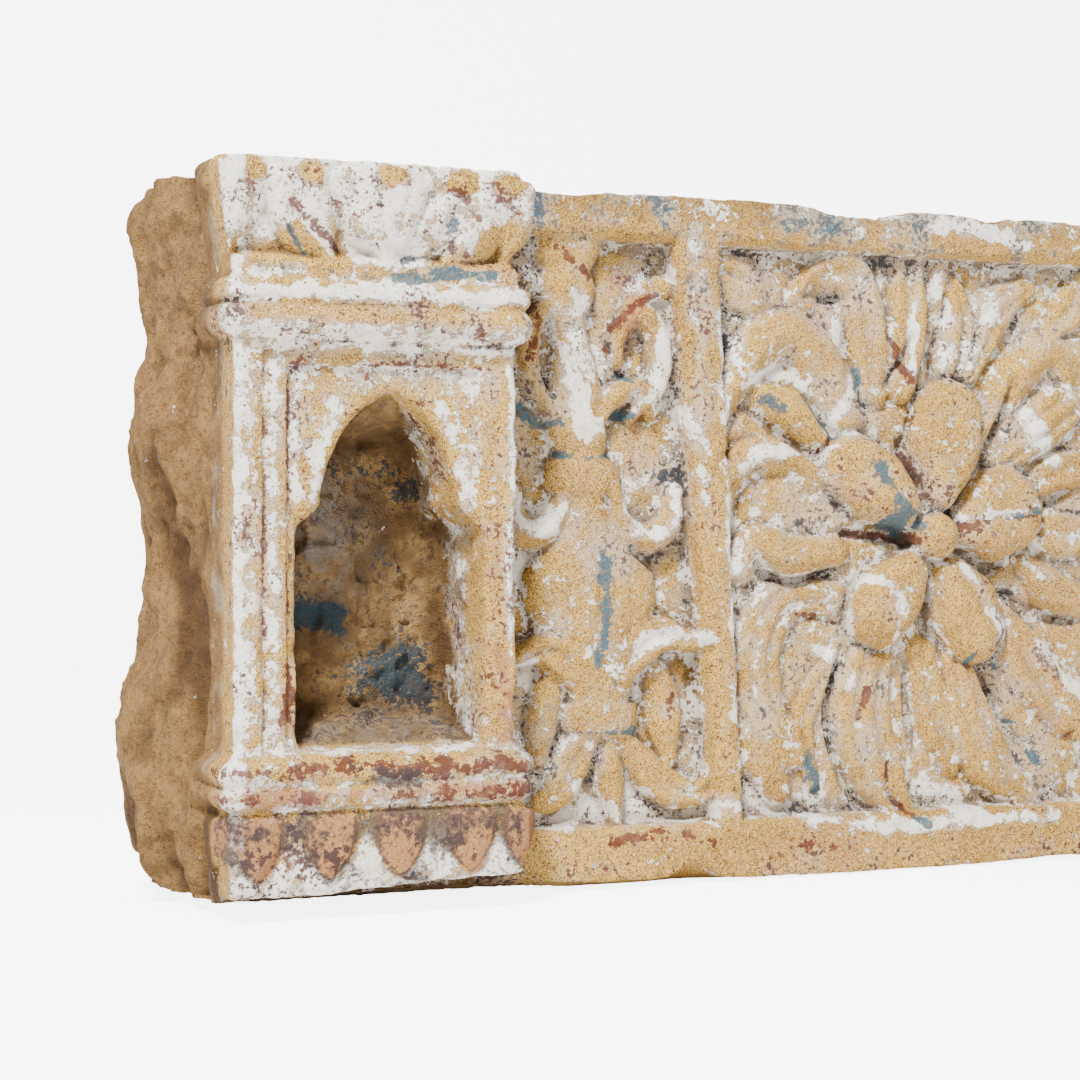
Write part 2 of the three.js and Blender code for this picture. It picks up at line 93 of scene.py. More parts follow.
def mix(low: float | np.ndarray, high: float | np.ndarray, share: np.ndarray) -> np.ndarray:
    """Runs from low to high with the share.

    Args:
        low: Value at share 0.
        high: Value at share 1.
        share: How far along, 0 to 1.

    Returns:
        The value between them.
    """
    return low + (high - low) * share


def ease(low: float, high: float, value: np.ndarray) -> np.ndarray:
    """Steps softly from 0 to 1 as value goes from low to high.

    Args:
        low: Where the step starts.
        high: Where it ends.
        value: What is measured.

    Returns:
        The step, 0 to 1.
    """
    share = np.clip((value - low) / (high - low), 0.0, 1.0)
    return share * share * (3.0 - 2.0 * share)


def bell(value: np.ndarray, centre: float, width: float) -> np.ndarray:
    """A soft hump of height 1.

    Args:
        value: What is measured.
        centre: Where the hump is.
        width: Its half width.

    Returns:
        The hump's height, 0 to 1.
    """
    return np.exp(-(((value - centre) / width) ** 2))


def lattice(x: np.ndarray, y: np.ndarray, z: np.ndarray, seed: int) -> np.ndarray:
    """A fixed random number for each whole-number place.

    Args:
        x: First whole coordinate.
        y: Second whole coordinate.
        z: Third whole coordinate.
        seed: Which set of numbers.

    Returns:
        Numbers from -1 to 1.
    """
    mixed = (x * 73856093) ^ (y * 19349663) ^ (z * 83492791) ^ (seed * 2654435761)
    mixed = (mixed ^ (mixed >> 13)) * 1274126177
    return ((mixed ^ (mixed >> 16)) & 0xFFFF) / 32767.5 - 1.0


def rough(points: np.ndarray, size: float, seed: int, octaves: int = 1) -> np.ndarray:
    """Smooth random relief in space.

    Args:
        points: Places, one row each.
        size: How far apart its humps are.
        seed: Which pattern.
        octaves: How many finer copies are added.

    Returns:
        Values from about -1 to 1.
    """
    total = np.zeros(len(points))
    weight, whole = 1.0, 0.0
    for octave in range(octaves):
        place = points * (2.0**octave / size) + 17.3 * octave
        cell = np.floor(place).astype(np.int64)
        inside = place - cell
        inside = inside * inside * (3.0 - 2.0 * inside)
        value = np.zeros(len(points))
        for corner in range(8):
            step = np.array([corner & 1, corner >> 1 & 1, corner >> 2 & 1])
            share = np.prod(np.where(step == 1, inside, 1.0 - inside), axis=1)
            at = cell + step
            value += share * lattice(at[:, 0], at[:, 1], at[:, 2], seed + octave)
        total += weight * value
        whole += weight
        weight *= 0.55
    return total / whole


def fracture(points: np.ndarray, size: float, seed: int) -> np.ndarray:
    """Broken stone: flat tilted facets that meet in sharp steps.

    Args:
        points: Places, one row each.
        size: How wide the facets are.
        seed: Which pattern.

    Returns:
        Height, about -1 to 1.
    """
    place = points / size
    cell = np.floor(place).astype(np.int64)
    nearest = np.full(len(points), np.inf)
    height = np.zeros(len(points))
    for number in range(27):
        step = np.array([number % 3 - 1, number // 3 % 3 - 1, number // 9 - 1])
        at = cell + step
        noise = [lattice(at[:, 0], at[:, 1], at[:, 2], seed + k) for k in range(7)]
        away = place - (at + 0.5 + 0.42 * np.stack(noise[:3], axis=1))
        gap = (away**2).sum(axis=1)
        tilted = (away * np.stack(noise[3:6], axis=1)).sum(axis=1) + 0.45 * noise[6]
        height = np.where(gap < nearest, tilted, height)
        nearest = np.minimum(nearest, gap)
    return height


def curve_through(points: Points, parts: int = 7) -> np.ndarray:
    """Draws a smooth line through points.

    Args:
        points: The places that it passes.
        parts: How many pieces each span has.

    Returns:
        The line's points, one row each.
    """
    knots = np.array(points, float)
    if len(knots) < 3:
        return np.linspace(knots[0], knots[-1], parts + 1)
    padded = np.vstack([2 * knots[0] - knots[1], knots, 2 * knots[-1] - knots[-2]])
    line = [knots[0]]
    for a, b, c, d in zip(padded[:-3], padded[1:-2], padded[2:-1], padded[3:]):
        for t in np.linspace(0, 1, parts + 1)[1:]:
            bend = (2 * a - 5 * b + 4 * c - d) * t * t + (3 * b - a - 3 * c + d) * t**3
            line.append(0.5 * (2 * b + (c - a) * t + bend))
    return np.array(line)


def follow(line: np.ndarray, x: np.ndarray, z: np.ndarray) -> tuple[np.ndarray, np.ndarray, np.ndarray]:
    """Measures places against a line.

    Args:
        line: The line's points.
        x: Places along the wall.
        z: Their heights.

    Returns:
        The distance to the line, how far along it 0 to 1, and the side, -1 or 1.
    """
    run = np.diff(line, axis=0)
    length = np.maximum(np.hypot(run[:, 0], run[:, 1]), 1e-6)
    reach = np.concatenate([[0.0], np.cumsum(length)])
    best, along, side = np.full(x.shape, np.inf), np.zeros(x.shape), np.ones(x.shape)
    for k, (start, step) in enumerate(zip(line[:-1], run)):
        dx, dz = x - start[0], z - start[1]
        share = np.clip((dx * step[0] + dz * step[1]) / length[k] ** 2, 0.0, 1.0)
        gap = np.hypot(dx - share * step[0], dz - share * step[1])
        closer = gap < best
        best = np.where(closer, gap, best)
        along = np.where(closer, (reach[k] + share * length[k]) / reach[-1], along)
        side = np.where(closer, np.where(step[0] * dz - step[1] * dx < 0, -1.0, 1.0), side)
    return best, along, side


def blurred(grid: np.ndarray, cells: float) -> np.ndarray:
    """Softens a map.

    Args:
        grid: The map.
        cells: How far, in grid cells.

    Returns:
        The softened map.
    """
    reach = max(1, int(math.ceil(2.5 * cells)))
    weights = np.exp(-0.5 * (np.arange(-reach, reach + 1) / cells) ** 2)
    weights /= weights.sum()
    for axis in (0, 1):
        edges = [(reach, reach) if a == axis else (0, 0) for a in (0, 1)]
        wide = np.pad(grid, edges, mode="edge")
        count = grid.shape[axis]
        grid = sum(w * np.take(wide, range(k, k + count), axis=axis) for k, w in enumerate(weights))
    return grid


class Form(Enum):
    """How a leaf is cut across."""

    ROUND = "round"
    GOUGED = "gouged"
    RIDGED = "ridged"
    CREASED = "creased"
    FLUTED = "fluted"

    def section(self, across: np.ndarray, side: np.ndarray) -> np.ndarray:
        """Height across a leaf.

        Args:
            across: Distance from the spine as a share of the half width.
            side: Which side of the spine, -1 or 1.

        Returns:
            Height as a share of the leaf's rise.
        """
        out = np.clip(across, 0.0, 1.0)
        wall = np.clip(1.0 - out**3.6, 0.0, 1.0) ** 0.75
        if self is Form.ROUND:
            return np.clip(1.0 - out**2.6, 0.0, 1.0) ** 0.6
        if self is Form.GOUGED:
            return wall * (1.0 - 0.36 * bell(out, 0.0, 0.42) - 0.12 * side * out)
        if self is Form.RIDGED:
            return wall * (1.0 - 0.42 * out - 0.14 * side * out)
        if self is Form.CREASED:
            return np.clip(1.0 - out**5, 0.0, 1.0) ** 0.6 * (1.0 - 0.14 * out**2 - 0.10 * side * out)
        return wall * (0.86 + 0.14 * np.cos(3.0 * math.pi * out) - 0.10 * side * out)


class Paint(Enum):
    """What lies on the stone, each kept as how much of the place it covers; the grime coat also carries
    painted shade.
    """

    LIME = "lime"
    BLUE = "blue"
    RED = "red"
    PINK = "pink"
    GRIME_AND_SHADE = "grime_and_shade"


@dataclass(frozen=True)
class Leaf:
    """A carved leaf or petal along a spine."""

    spine: Points
    width: float
    rise: float
    form: Form = Form.GOUGED
    base: float = 0.6
    tip: float = 0.55
    root: float = 0.8
    droop: float = 0.25
    moat: float = 1.6
    widest: float = 0.4


@dataclass(frozen=True)
class Groove:
    """A cut line, hollow or drill hole."""

    line: Points
    width: float
    depth: float


@dataclass(frozen=True)
class Stain:
    """A given patch or streak of paint or dirt, or a line of painted shadow."""

    kind: Paint
    line: Points
    width: float
    amount: float


@dataclass
class Face:
    """The carved front, as a map of depths and of paint over the wall's length and height."""

    step: float
    x: np.ndarray = field(init=False)
    z: np.ndarray = field(init=False)
    depth: np.ndarray = field(init=False)
    warp: np.ndarray = field(init=False)
    paint: dict[Paint, np.ndarray] = field(init=False)

    def __post_init__(self) -> None:
        """Lays out the maps, with the depth at the wall's face and no paint."""
        columns = int(round(WALL_LENGTH / self.step)) + 1
        rows = int(round((TOP + BED) / self.step)) + 1
        self.x, self.z = np.meshgrid(np.linspace(0.0, WALL_LENGTH, columns), np.linspace(-BED, TOP, rows))
        self.depth = np.full(self.x.shape, WALL_FACE)
        self.paint = {kind: np.zeros(self.x.shape) for kind in Paint}
        self.warp = self.wander(9.0, 71, 3)

    def plan(self) -> np.ndarray:
        """Lists the map's places in a plane, one row each."""
        return np.stack([self.x.ravel(), 0.0 * self.x.ravel(), self.z.ravel()], axis=1)

    def wander(self, size: float, seed: int, octaves: int) -> np.ndarray:
        """Smooth random values over the front.

        Args:
            size: How far apart the humps are.
            seed: Which pattern.
            octaves: How many finer copies are added.

        Returns:
            Values from about -1 to 1.
        """
        return rough(self.plan(), size, seed, octaves).reshape(self.x.shape)

    def window(self, line: np.ndarray, margin: float) -> tuple[slice, slice]:
        """Finds the part of the map round a line.

        Args:
            line: The line's points.
            margin: How far beyond it the part goes.

        Returns:
            The rows and columns of that part.
        """
        low, high = line.min(axis=0) - margin, line.max(axis=0) + margin
        cells = [
            slice(max(0, int((a - start) / self.step)), max(1, int((b - start) / self.step) + 2))
            for a, b, start in ((low[1], high[1], -BED), (low[0], high[0], 0.0))
        ]
        return cells[0], cells[1]

    def raise_leaf(self, leaf: Leaf, ground: float | np.ndarray = GROUND) -> None:
        """Carves a leaf that stands up from the ground.

        Args:
            leaf: The leaf.
            ground: Depth of what it stands on.
        """
        line = curve_through(leaf.spine)
        part = self.window(line, leaf.width)
        gap, along, side = follow(line, self.x[part], self.z[part])
        bed = ground[part] if isinstance(ground, np.ndarray) else ground
        near_tip = ease(0.6, 1.0, along)
        narrow = mix(leaf.base, 1.0, ease(0.0, leaf.widest, along)) * mix(1.0, leaf.tip, near_tip)
        half = 0.5 * leaf.width * narrow
        lift = leaf.rise * mix(leaf.root, 1.0, ease(0.0, 0.5, along)) * (1.0 - leaf.droop * near_tip)
        inside = gap < half
        beside = leaf.moat * bell(gap, half, 1.7)
        old = self.depth[part]
        cut = np.minimum(old + beside, np.maximum(old, bed + 1.5))
        raised = bed - lift * leaf.form.section(gap / half, side)
        near = np.clip(0.5 + (old - raised) / 2.4, 0.0, 1.0)
        joined = mix(old, raised, near) - 0.6 * near * (1.0 - near)
        self.depth[part] = np.where(inside, np.minimum(joined, old + 0.6 * leaf.moat), cut)

    def raise_turned(self, rows: Points, axis: tuple[float, float, float], rise: float) -> None:
        """Carves half of a turned form.

        Args:
            rows: Height and half width, from the foot up.
            axis: Place of the axis, its height and its lean.
            rise: How far the widest part stands out.
        """
        height, half = np.array(rows, float).T
        centre = axis[0] - axis[2] * (self.z - axis[1])
        width = np.interp(self.z, height, half)
        across = np.abs(self.x - centre) / width
        body = rise * (width / half.max()) ** 0.35 * np.sqrt(np.clip(1.0 - across**2.6, 0.0, 1.0))
        on = (across < 1.0) & (self.z > height[0]) & (self.z < height[-1])
        beside = 2.5 * bell((across - 1.0) * width, 0.0, 2.2) * (self.z > height[0]) * (self.z < height[-1])
        cut = np.minimum(self.depth + beside, np.maximum(self.depth, GROUND + 1.0))
        self.depth = np.where(on, np.minimum(self.depth, GROUND - body), cut)

    def cut(self, groove: Groove, floor: float = GROUND + 3.0) -> None:
        """Cuts a groove into what is there.

        Args:
            groove: The groove.
            floor: Depth that it doesn't go below.
        """
        line = curve_through(groove.line)
        part = self.window(line, 2.0 * groove.width)
        gap, along, _ = follow(line, self.x[part], self.z[part])
        ends = 0.35 + 0.65 * np.sin(math.pi * np.clip(0.08 + 0.84 * along, 0, 1))
        deeper = groove.depth * ends * bell(gap, 0.0, 0.5 * groove.width)
        old = self.depth[part]
        self.depth[part] = np.minimum(old + deeper, np.maximum(old, floor))

    def wear_edges(self) -> None:
        """Wears the standing edges, more in some places than in others, and pits the surface."""
        cells = 1.0 / self.step
        soft = blurred(self.depth, 2.2 * cells)
        standing = np.clip(soft - self.depth, 0.0, 5.0)
        uneven = np.clip(0.45 + 0.9 * self.wander(11.0, 91, 3), 0.0, 1.3)
        self.depth = self.depth + 0.75 * standing * uneven
        chips = np.clip(self.wander(7.0, 97, 2) - 0.42, 0.0, 1.0)
        self.depth = self.depth + 4.0 * chips * np.clip(0.25 + 0.5 * standing, 0.0, 1.0)
        self.depth = blurred(self.depth, 0.5 * cells)

    def stain(self, mark: Stain) -> None:
        """Lays a patch of paint or dirt.

        Args:
            mark: The patch.
        """
        line = curve_through(mark.line)
        part = self.window(line, 1.6 * mark.width)
        gap, _, _ = follow(line, self.x[part], self.z[part])
        gap = gap + 0.55 * mark.width * self.warp[part]
        cover = mark.amount * (1.0 - ease(0.0, 0.68 * mark.width, gap))
        self.paint[mark.kind][part] = np.maximum(self.paint[mark.kind][part], cover)

    def sample(self, grid: np.ndarray, x: np.ndarray, z: np.ndarray) -> np.ndarray:
        """Reads a map between its cells.

        Args:
            grid: The map.
            x: Places along the wall.
            z: Their heights.

        Returns:
            The values there.
        """
        rows, columns = grid.shape
        across = np.clip(x / WALL_LENGTH * (columns - 1), 0, columns - 1.001)
        up = np.clip((z + BED) / (TOP + BED) * (rows - 1), 0, rows - 1.001)
        i, j = up.astype(int), across.astype(int)
        u, v = up - i, across - j
        low = grid[i, j] * (1 - v) + grid[i, j + 1] * v
        high = grid[i + 1, j] * (1 - v) + grid[i + 1, j + 1] * v
        return low * (1 - u) + high * u


PIER_PROFILE: Points = (
    (-6, 1), (2, 3), (45, 4), (47, 1), (50, 1), (74, 1), (77, 2), (79, 0), (302, 0), (322, 1),
    (323.5, 7), (333, 6), (335, 1), (343, 1), (352, 3.6), (366, 7.4), (383, 10.4), (396, 12), (400, 9.5),
)
NICHE_ROWS: Points = (
    (78, 54), (196, 54.5), (202, 52), (207, 44), (213, 40), (224, 38.5), (236, 35), (250, 29.5),
    (261, 21), (269, 12), (274, 4.5), (276, 0.5),
)


def hewn_relief(points: np.ndarray) -> np.ndarray:
    """Works out the ridges and hollows of the broken side.

    Args:
        points: Places in the stone's millimetres.

    Returns:
        How far the surface stands out.
    """
    ridges = 1.0 - 1.6 * np.abs(rough(points * (1.0, 1.0, 0.45), 46.0, 53, 2))
    lesser = 1.0 - 1.6 * np.abs(rough(points * (1.0, 1.0, 0.7), 17.0, 59, 2))
    return RIDGE_RISE * ridges + LESSER_RIDGE_RISE * lesser - RIDGE_MEAN


def pier_reach(z: np.ndarray) -> np.ndarray:
    """How far the pier stands out from its jamb at a height.

    Args:
        z: Heights.

    Returns:
        Millimetres in front of the jamb face.
    """
    heights, reach = np.array(PIER_PROFILE, float).T
    return np.interp(z, heights, reach)


def niche_inset(x: np.ndarray, z: np.ndarray) -> np.ndarray:
    """How far inside the niche's opening a place is.

    Args:
        x: Places along the wall.
        z: Their heights.

    Returns:
        Millimetres from the edge, below 0 outside.
    """
    heights, half = np.array(NICHE_ROWS, float).T
    side = np.interp(z, heights, half, left=-20.0, right=-20.0) - np.abs(x - NICHE_X)
    slope = np.where(z > 225, 0.75, 1.0)
    return np.minimum(side * slope, z - NICHE_SILL)


def drop_half_width(down: np.ndarray) -> np.ndarray:
    """Half the width of a hanging drop.

    Args:
        down: How far down the drop, 0 to 1.

    Returns:
        Millimetres from its middle line.
    """
    return 0.5 * DROP_WIDTH * (1 - down**2.1) ** 0.75 * (1 + 0.10 * np.sin(math.pi * down))


def strip_left(z: np.ndarray) -> np.ndarray:
    """Left edge of the leaning strip.

    Args:
        z: Heights.

    Returns:
        Places along the wall.
    """
    return 316.0 - 0.084 * (z - FIELD_FOOT)


def strip_right(z: np.ndarray) -> np.ndarray:
    """Right edge of the leaning strip.

    Args:
        z: Heights.

    Returns:
        Places along the wall.
    """
    return 315.7 + 0.049 * (FIELD_TOP - z)


@dataclass(frozen=True)
class Bands:
    """The plain bands and strips, and the two fields sunk between them."""

    bevel: float = 2.2
    wear: float = 1.1
    unevenness: float = 1.2
    worn_width: float = 7.0

    def build(self, face: Face) -> None:
        """Sinks the fields.

        Args:
            face: The front that is carved.
        """
        x, z = face.x, face.z
        up = np.minimum(z - FIELD_FOOT, FIELD_TOP - z)
        first = np.minimum(np.minimum(x - 150.0, strip_left(z) - x), up)
        second = np.minimum(np.minimum(x - strip_right(z), ROSETTE_END - x), up)
        for inset in (first, second):
            sunk = ease(-0.4 * self.bevel, self.bevel, inset)
            face.depth = np.maximum(face.depth, mix(WALL_FACE, GROUND, sunk))
        worn = self.wear + self.unevenness * face.wander(34.0, 5, 2)
        edge = bell(np.minimum(np.abs(first), np.abs(second)), 0.0, self.worn_width)
        face.depth += worn * edge * (face.depth < WALL_FACE + 6.0)


@dataclass(frozen=True)
class Pier:
    """The pier's flat parts, the frame sunk round the niche, the niche and the capital's leaves."""

    corner: float = 3.0
    niche_depth: float = 65.0
    niche_arris: float = 3.2
    floor_slope: float = 2.6
    head_slope: float = 1.9
    lump_rise: float = 15.0
    lump_middle: tuple[float, float] = (66.0, 200.0)
    frame_top: float = 303.0
    frame_steps: tuple[tuple[float, float, float, float], ...] = (
        (16.0, 8.0, 6.0, 3.5), (31.0, 22.0, 14.0, 4.5),
    )
    step_groove: float = 1.2
    foot_chips: Points = ((0, 3), (20, 3), (50, 1), (80, 3), (120, 6), (166, 8))
    foot_ragged: float = 1.5
    capital_ground: float = 8.5
    rim_ground: float = 5.0
    capital_leaves: tuple[Leaf, ...] = (
        Leaf(((4, 388), (0, 372), (-2, 350)), 32, 8.0, Form.ROUND, 1.0, 0.3, 1.0),
        Leaf(((32, 388), (38, 370), (54, 347)), 36, 8.0, Form.CREASED, 1.0, 0.25, 1.0),
        Leaf(((60, 388), (70, 368), (84, 349)), 20, 5.0, Form.ROUND, 1.0, 0.3, 1.0),
        Leaf(((122, 388), (118, 370), (98, 349)), 26, 5.4, Form.ROUND, 1.0, 0.3, 1.0),
        Leaf(((86, 390), (88, 372), (90, 347)), 48, 9.0, Form.CREASED, 1.0, 0.25, 1.0),
        Leaf(((148, 388), (142, 370), (124, 348)), 34, 8.0, Form.CREASED, 1.0, 0.3, 1.0),
        Leaf(((166, 388), (165, 372), (158, 350)), 20, 6.4, Form.ROUND, 1.0, 0.3, 1.0),
    )
    capital_cuts: tuple[Groove, ...] = (
        Groove(((28, 375), (44, 362), (60, 350)), 4.5, 3.5),
        Groove(((25, 370), (33, 356), (42, 346)), 4.5, 3.0),
        Groove(((125, 374), (110, 352), (90, 345)), 5.0, 3.5),
        Groove(((63, 392), (70, 372), (82, 352)), 3.5, 3.0),
        Groove(((112, 392), (106, 372), (97, 352)), 3.5, 3.0),
        Groove(((76, 392), (81, 370), (86, 356)), 3.0, 1.6),
        Groove(((98, 392), (94, 370), (92, 356)), 3.0, 1.6),
        Groove(((136, 392), (134, 374), (120, 352)), 3.5, 3.0),
        Groove(((14, 392), (12, 374), (16, 354)), 4.0, 3.5),
    )

    def build(self, face: Face) -> None:
        """Sets the pier's planes into the front.

        Args:
            face: The front that is carved.
        """
        x, z = face.x, face.z
        reach = pier_reach(z)
        right = PIER_WIDTH + np.where(z > CAPITAL_FOOT, 0.0, reach)
        front = PIER_FACE - reach
        inset = np.clip(right - x, 0.0, self.corner)
        turn = self.corner - np.sqrt(np.clip(self.corner**2 - (self.corner - inset) ** 2, 0, None))
        left = np.clip(self.corner - x, 0.0, self.corner)
        turn += self.corner - np.sqrt(np.clip(self.corner**2 - left**2, 0, None))
        plane = front + turn
        for left_band, right_band, top_band, sink in self.frame_steps:
            sides = np.minimum(x - left_band, PIER_WIDTH - right_band - x)
            edge = np.minimum(sides, self.frame_top - top_band - z)
            step = sink * ease(-0.7, 0.7, edge) + self.step_groove * bell(edge, 1.4, 1.0)
            plane = plane + step * (z > NICHE_SILL)
        chipped = PIER_FOOT + np.interp(x, *np.array(self.foot_chips, float).T)
        chipped = chipped + self.foot_ragged * face.wander(10.0, 67, 2)
        on_pier = (x < right) & (z > chipped)
        face.depth = np.where(on_pier, np.minimum(plane, GROUND), face.depth)
        capital = on_pier & (z > CAPITAL_FOOT + 1)
        under_rim = ease(380, 384, z)
        hollowed = self.capital_ground * ease(CAPITAL_FOOT + 1, CAPITAL_FOOT + 7, z) * (1 - under_rim)
        hollowed = (hollowed + self.rim_ground * under_rim) * (1 - ease(TOP - 4, TOP - 1, z))
        face.depth = np.where(capital, face.depth + hollowed, face.depth)
        self.hollow(face)
        bed = front + self.capital_ground
        for leaf in self.capital_leaves:
            face.raise_leaf(leaf, bed)
        for groove in self.capital_cuts:
            face.cut(groove, PIER_FACE)

    def hollow(self, face: Face) -> None:
        """Cuts the niche, with its rough back, rising floor and lump.

        Args:
            face: The front that is carved.
        """
        x, z = face.x, face.z
        inset = niche_inset(x, z)
        wave, fine = face.wander(26.0, 11, 3), face.wander(8.0, 12, 2)
        deep = PIER_FACE + self.niche_depth - 3.0 + 3.0 * wave + 0.8 * fine
        middle_x, middle_z = self.lump_middle
        lump = self.lump_rise * np.exp(-(((x - middle_x) / 26) ** 2 + ((z - middle_z) / 36) ** 2) ** 1.5)
        hollow_right = 5.0 * bell(x, 122, 14) * bell(z, 150, 60)
        deep = deep - lump + hollow_right
        floor = 20.0 + (z - NICHE_SILL) * self.floor_slope + 2.0 * fine
        deep = np.where(z < 101, np.minimum(deep, floor), deep)
        top_slope = 18.0 + (NICHE_APEX - z) * self.head_slope
        deep = np.where(z > 236, np.minimum(deep, top_slope), deep)
        wall = 1.0 - np.clip(1.0 - inset / self.niche_arris, 0.0, 1.0) ** 2
        here = inset > 0
        face.depth = np.where(here, mix(face.depth, np.maximum(deep, face.depth), wall), face.depth)


@dataclass(frozen=True)
class Baluster:
    """The leafy baluster on its leaning axis."""

    rise: float = 16.0
    axis: tuple[float, float, float] = (246.0, 40.0, 0.083)
    rows: Points = (
        (76, 14), (79, 23), (82, 25), (95, 25), (97, 19), (112, 26), (140, 38), (158, 44), (172, 43),
        (186, 32), (200, 20), (219, 14), (221, 22), (226, 25), (233, 26), (240, 22), (243, 15), (250, 18),
        (262, 20), (280, 18), (300, 14), (322, 9), (328, 11), (332, 15), (340, 18), (350, 17), (352, 15),
        (366, 24), (373, 26),
    )
    leaves: tuple[Leaf, ...] = (
        Leaf(((247, 78), (249, 50), (252, 28)), 20, 13, Form.RIDGED),
        Leaf(((235, 78), (222, 60), (212, 42), (203, 38)), 26, 13, Form.GOUGED),
        Leaf(((255, 78), (268, 60), (285, 45), (305, 40), (316, 48)), 24, 13, Form.GOUGED),
        Leaf(((280, 120), (285, 90), (288, 62)), 24, 8, Form.ROUND),
        Leaf(((214, 120), (205, 90), (202, 62)), 22, 8, Form.ROUND),
        Leaf(((243, 100), (258, 122), (280, 136), (304, 131)), 26, 17, Form.GOUGED, droop=0.05),
        Leaf(((240, 106), (222, 118), (205, 128), (190, 126)), 26, 17, Form.GOUGED, droop=0.05),
        Leaf(((250, 222), (256, 203), (272, 194), (287, 203), (290, 222)), 20, 14, Form.RIDGED, 0.7, 0.8),
        Leaf(((222, 225), (212, 205), (198, 196), (186, 206), (184, 222)), 20, 14, Form.RIDGED, 0.7, 0.8),
        Leaf(((262, 268), (280, 288), (279, 316), (266, 330), (256, 316), (255, 300)), 17, 12, Form.ROUND),
        Leaf(((210, 270), (196, 290), (196, 318), (208, 332), (218, 318)), 16, 11, Form.ROUND),
        Leaf(((240, 262), (252, 280), (268, 282), (276, 268)), 15, 12, Form.ROUND),
        Leaf(((262, 335), (280, 345), (300, 340)), 16, 7, Form.ROUND),
    )
    cuts: tuple[Groove, ...] = (
        Groove(((268, 209), (273, 210)), 9, 14),
        Groove(((204, 210), (199, 211)), 9, 14),
        Groove(((262, 186), (275, 182), (287, 187)), 6, 7),
        Groove(((283, 124), (296, 121), (308, 126)), 7, 12),
        Groove(((192, 116), (200, 114)), 7, 11),
        Groove(((258, 296), (260, 306), (259, 316)), 9, 8),
        Groove(((275, 342), (276, 354), (275, 364)), 4, 6),
        Groove(((234, 120), (236, 150), (238, 180)), 4, 3),
        Groove(((222, 130), (218, 150), (222, 176)), 3.5, 2.4),
        Groove(((254, 130), (260, 152), (256, 178)), 3.5, 2.4),
        Groove(((247, 262), (252, 268), (260, 270)), 6, 7),
        Groove(((250, 370), (268, 368), (286, 372)), 8, 8),
        Groove(((300, 70), (304, 90), (302, 112)), 6, 5),
    )

    def build(self, face: Face) -> None:
        """Carves the baluster.

        Args:
            face: The front that is carved.
        """
        for leaf in self.leaves[:5]:
            face.raise_leaf(leaf)
        face.raise_turned(self.rows, self.axis, self.rise)
        for leaf in self.leaves[5:]:
            face.raise_leaf(leaf)
        for groove in self.cuts:
            face.cut(groove)


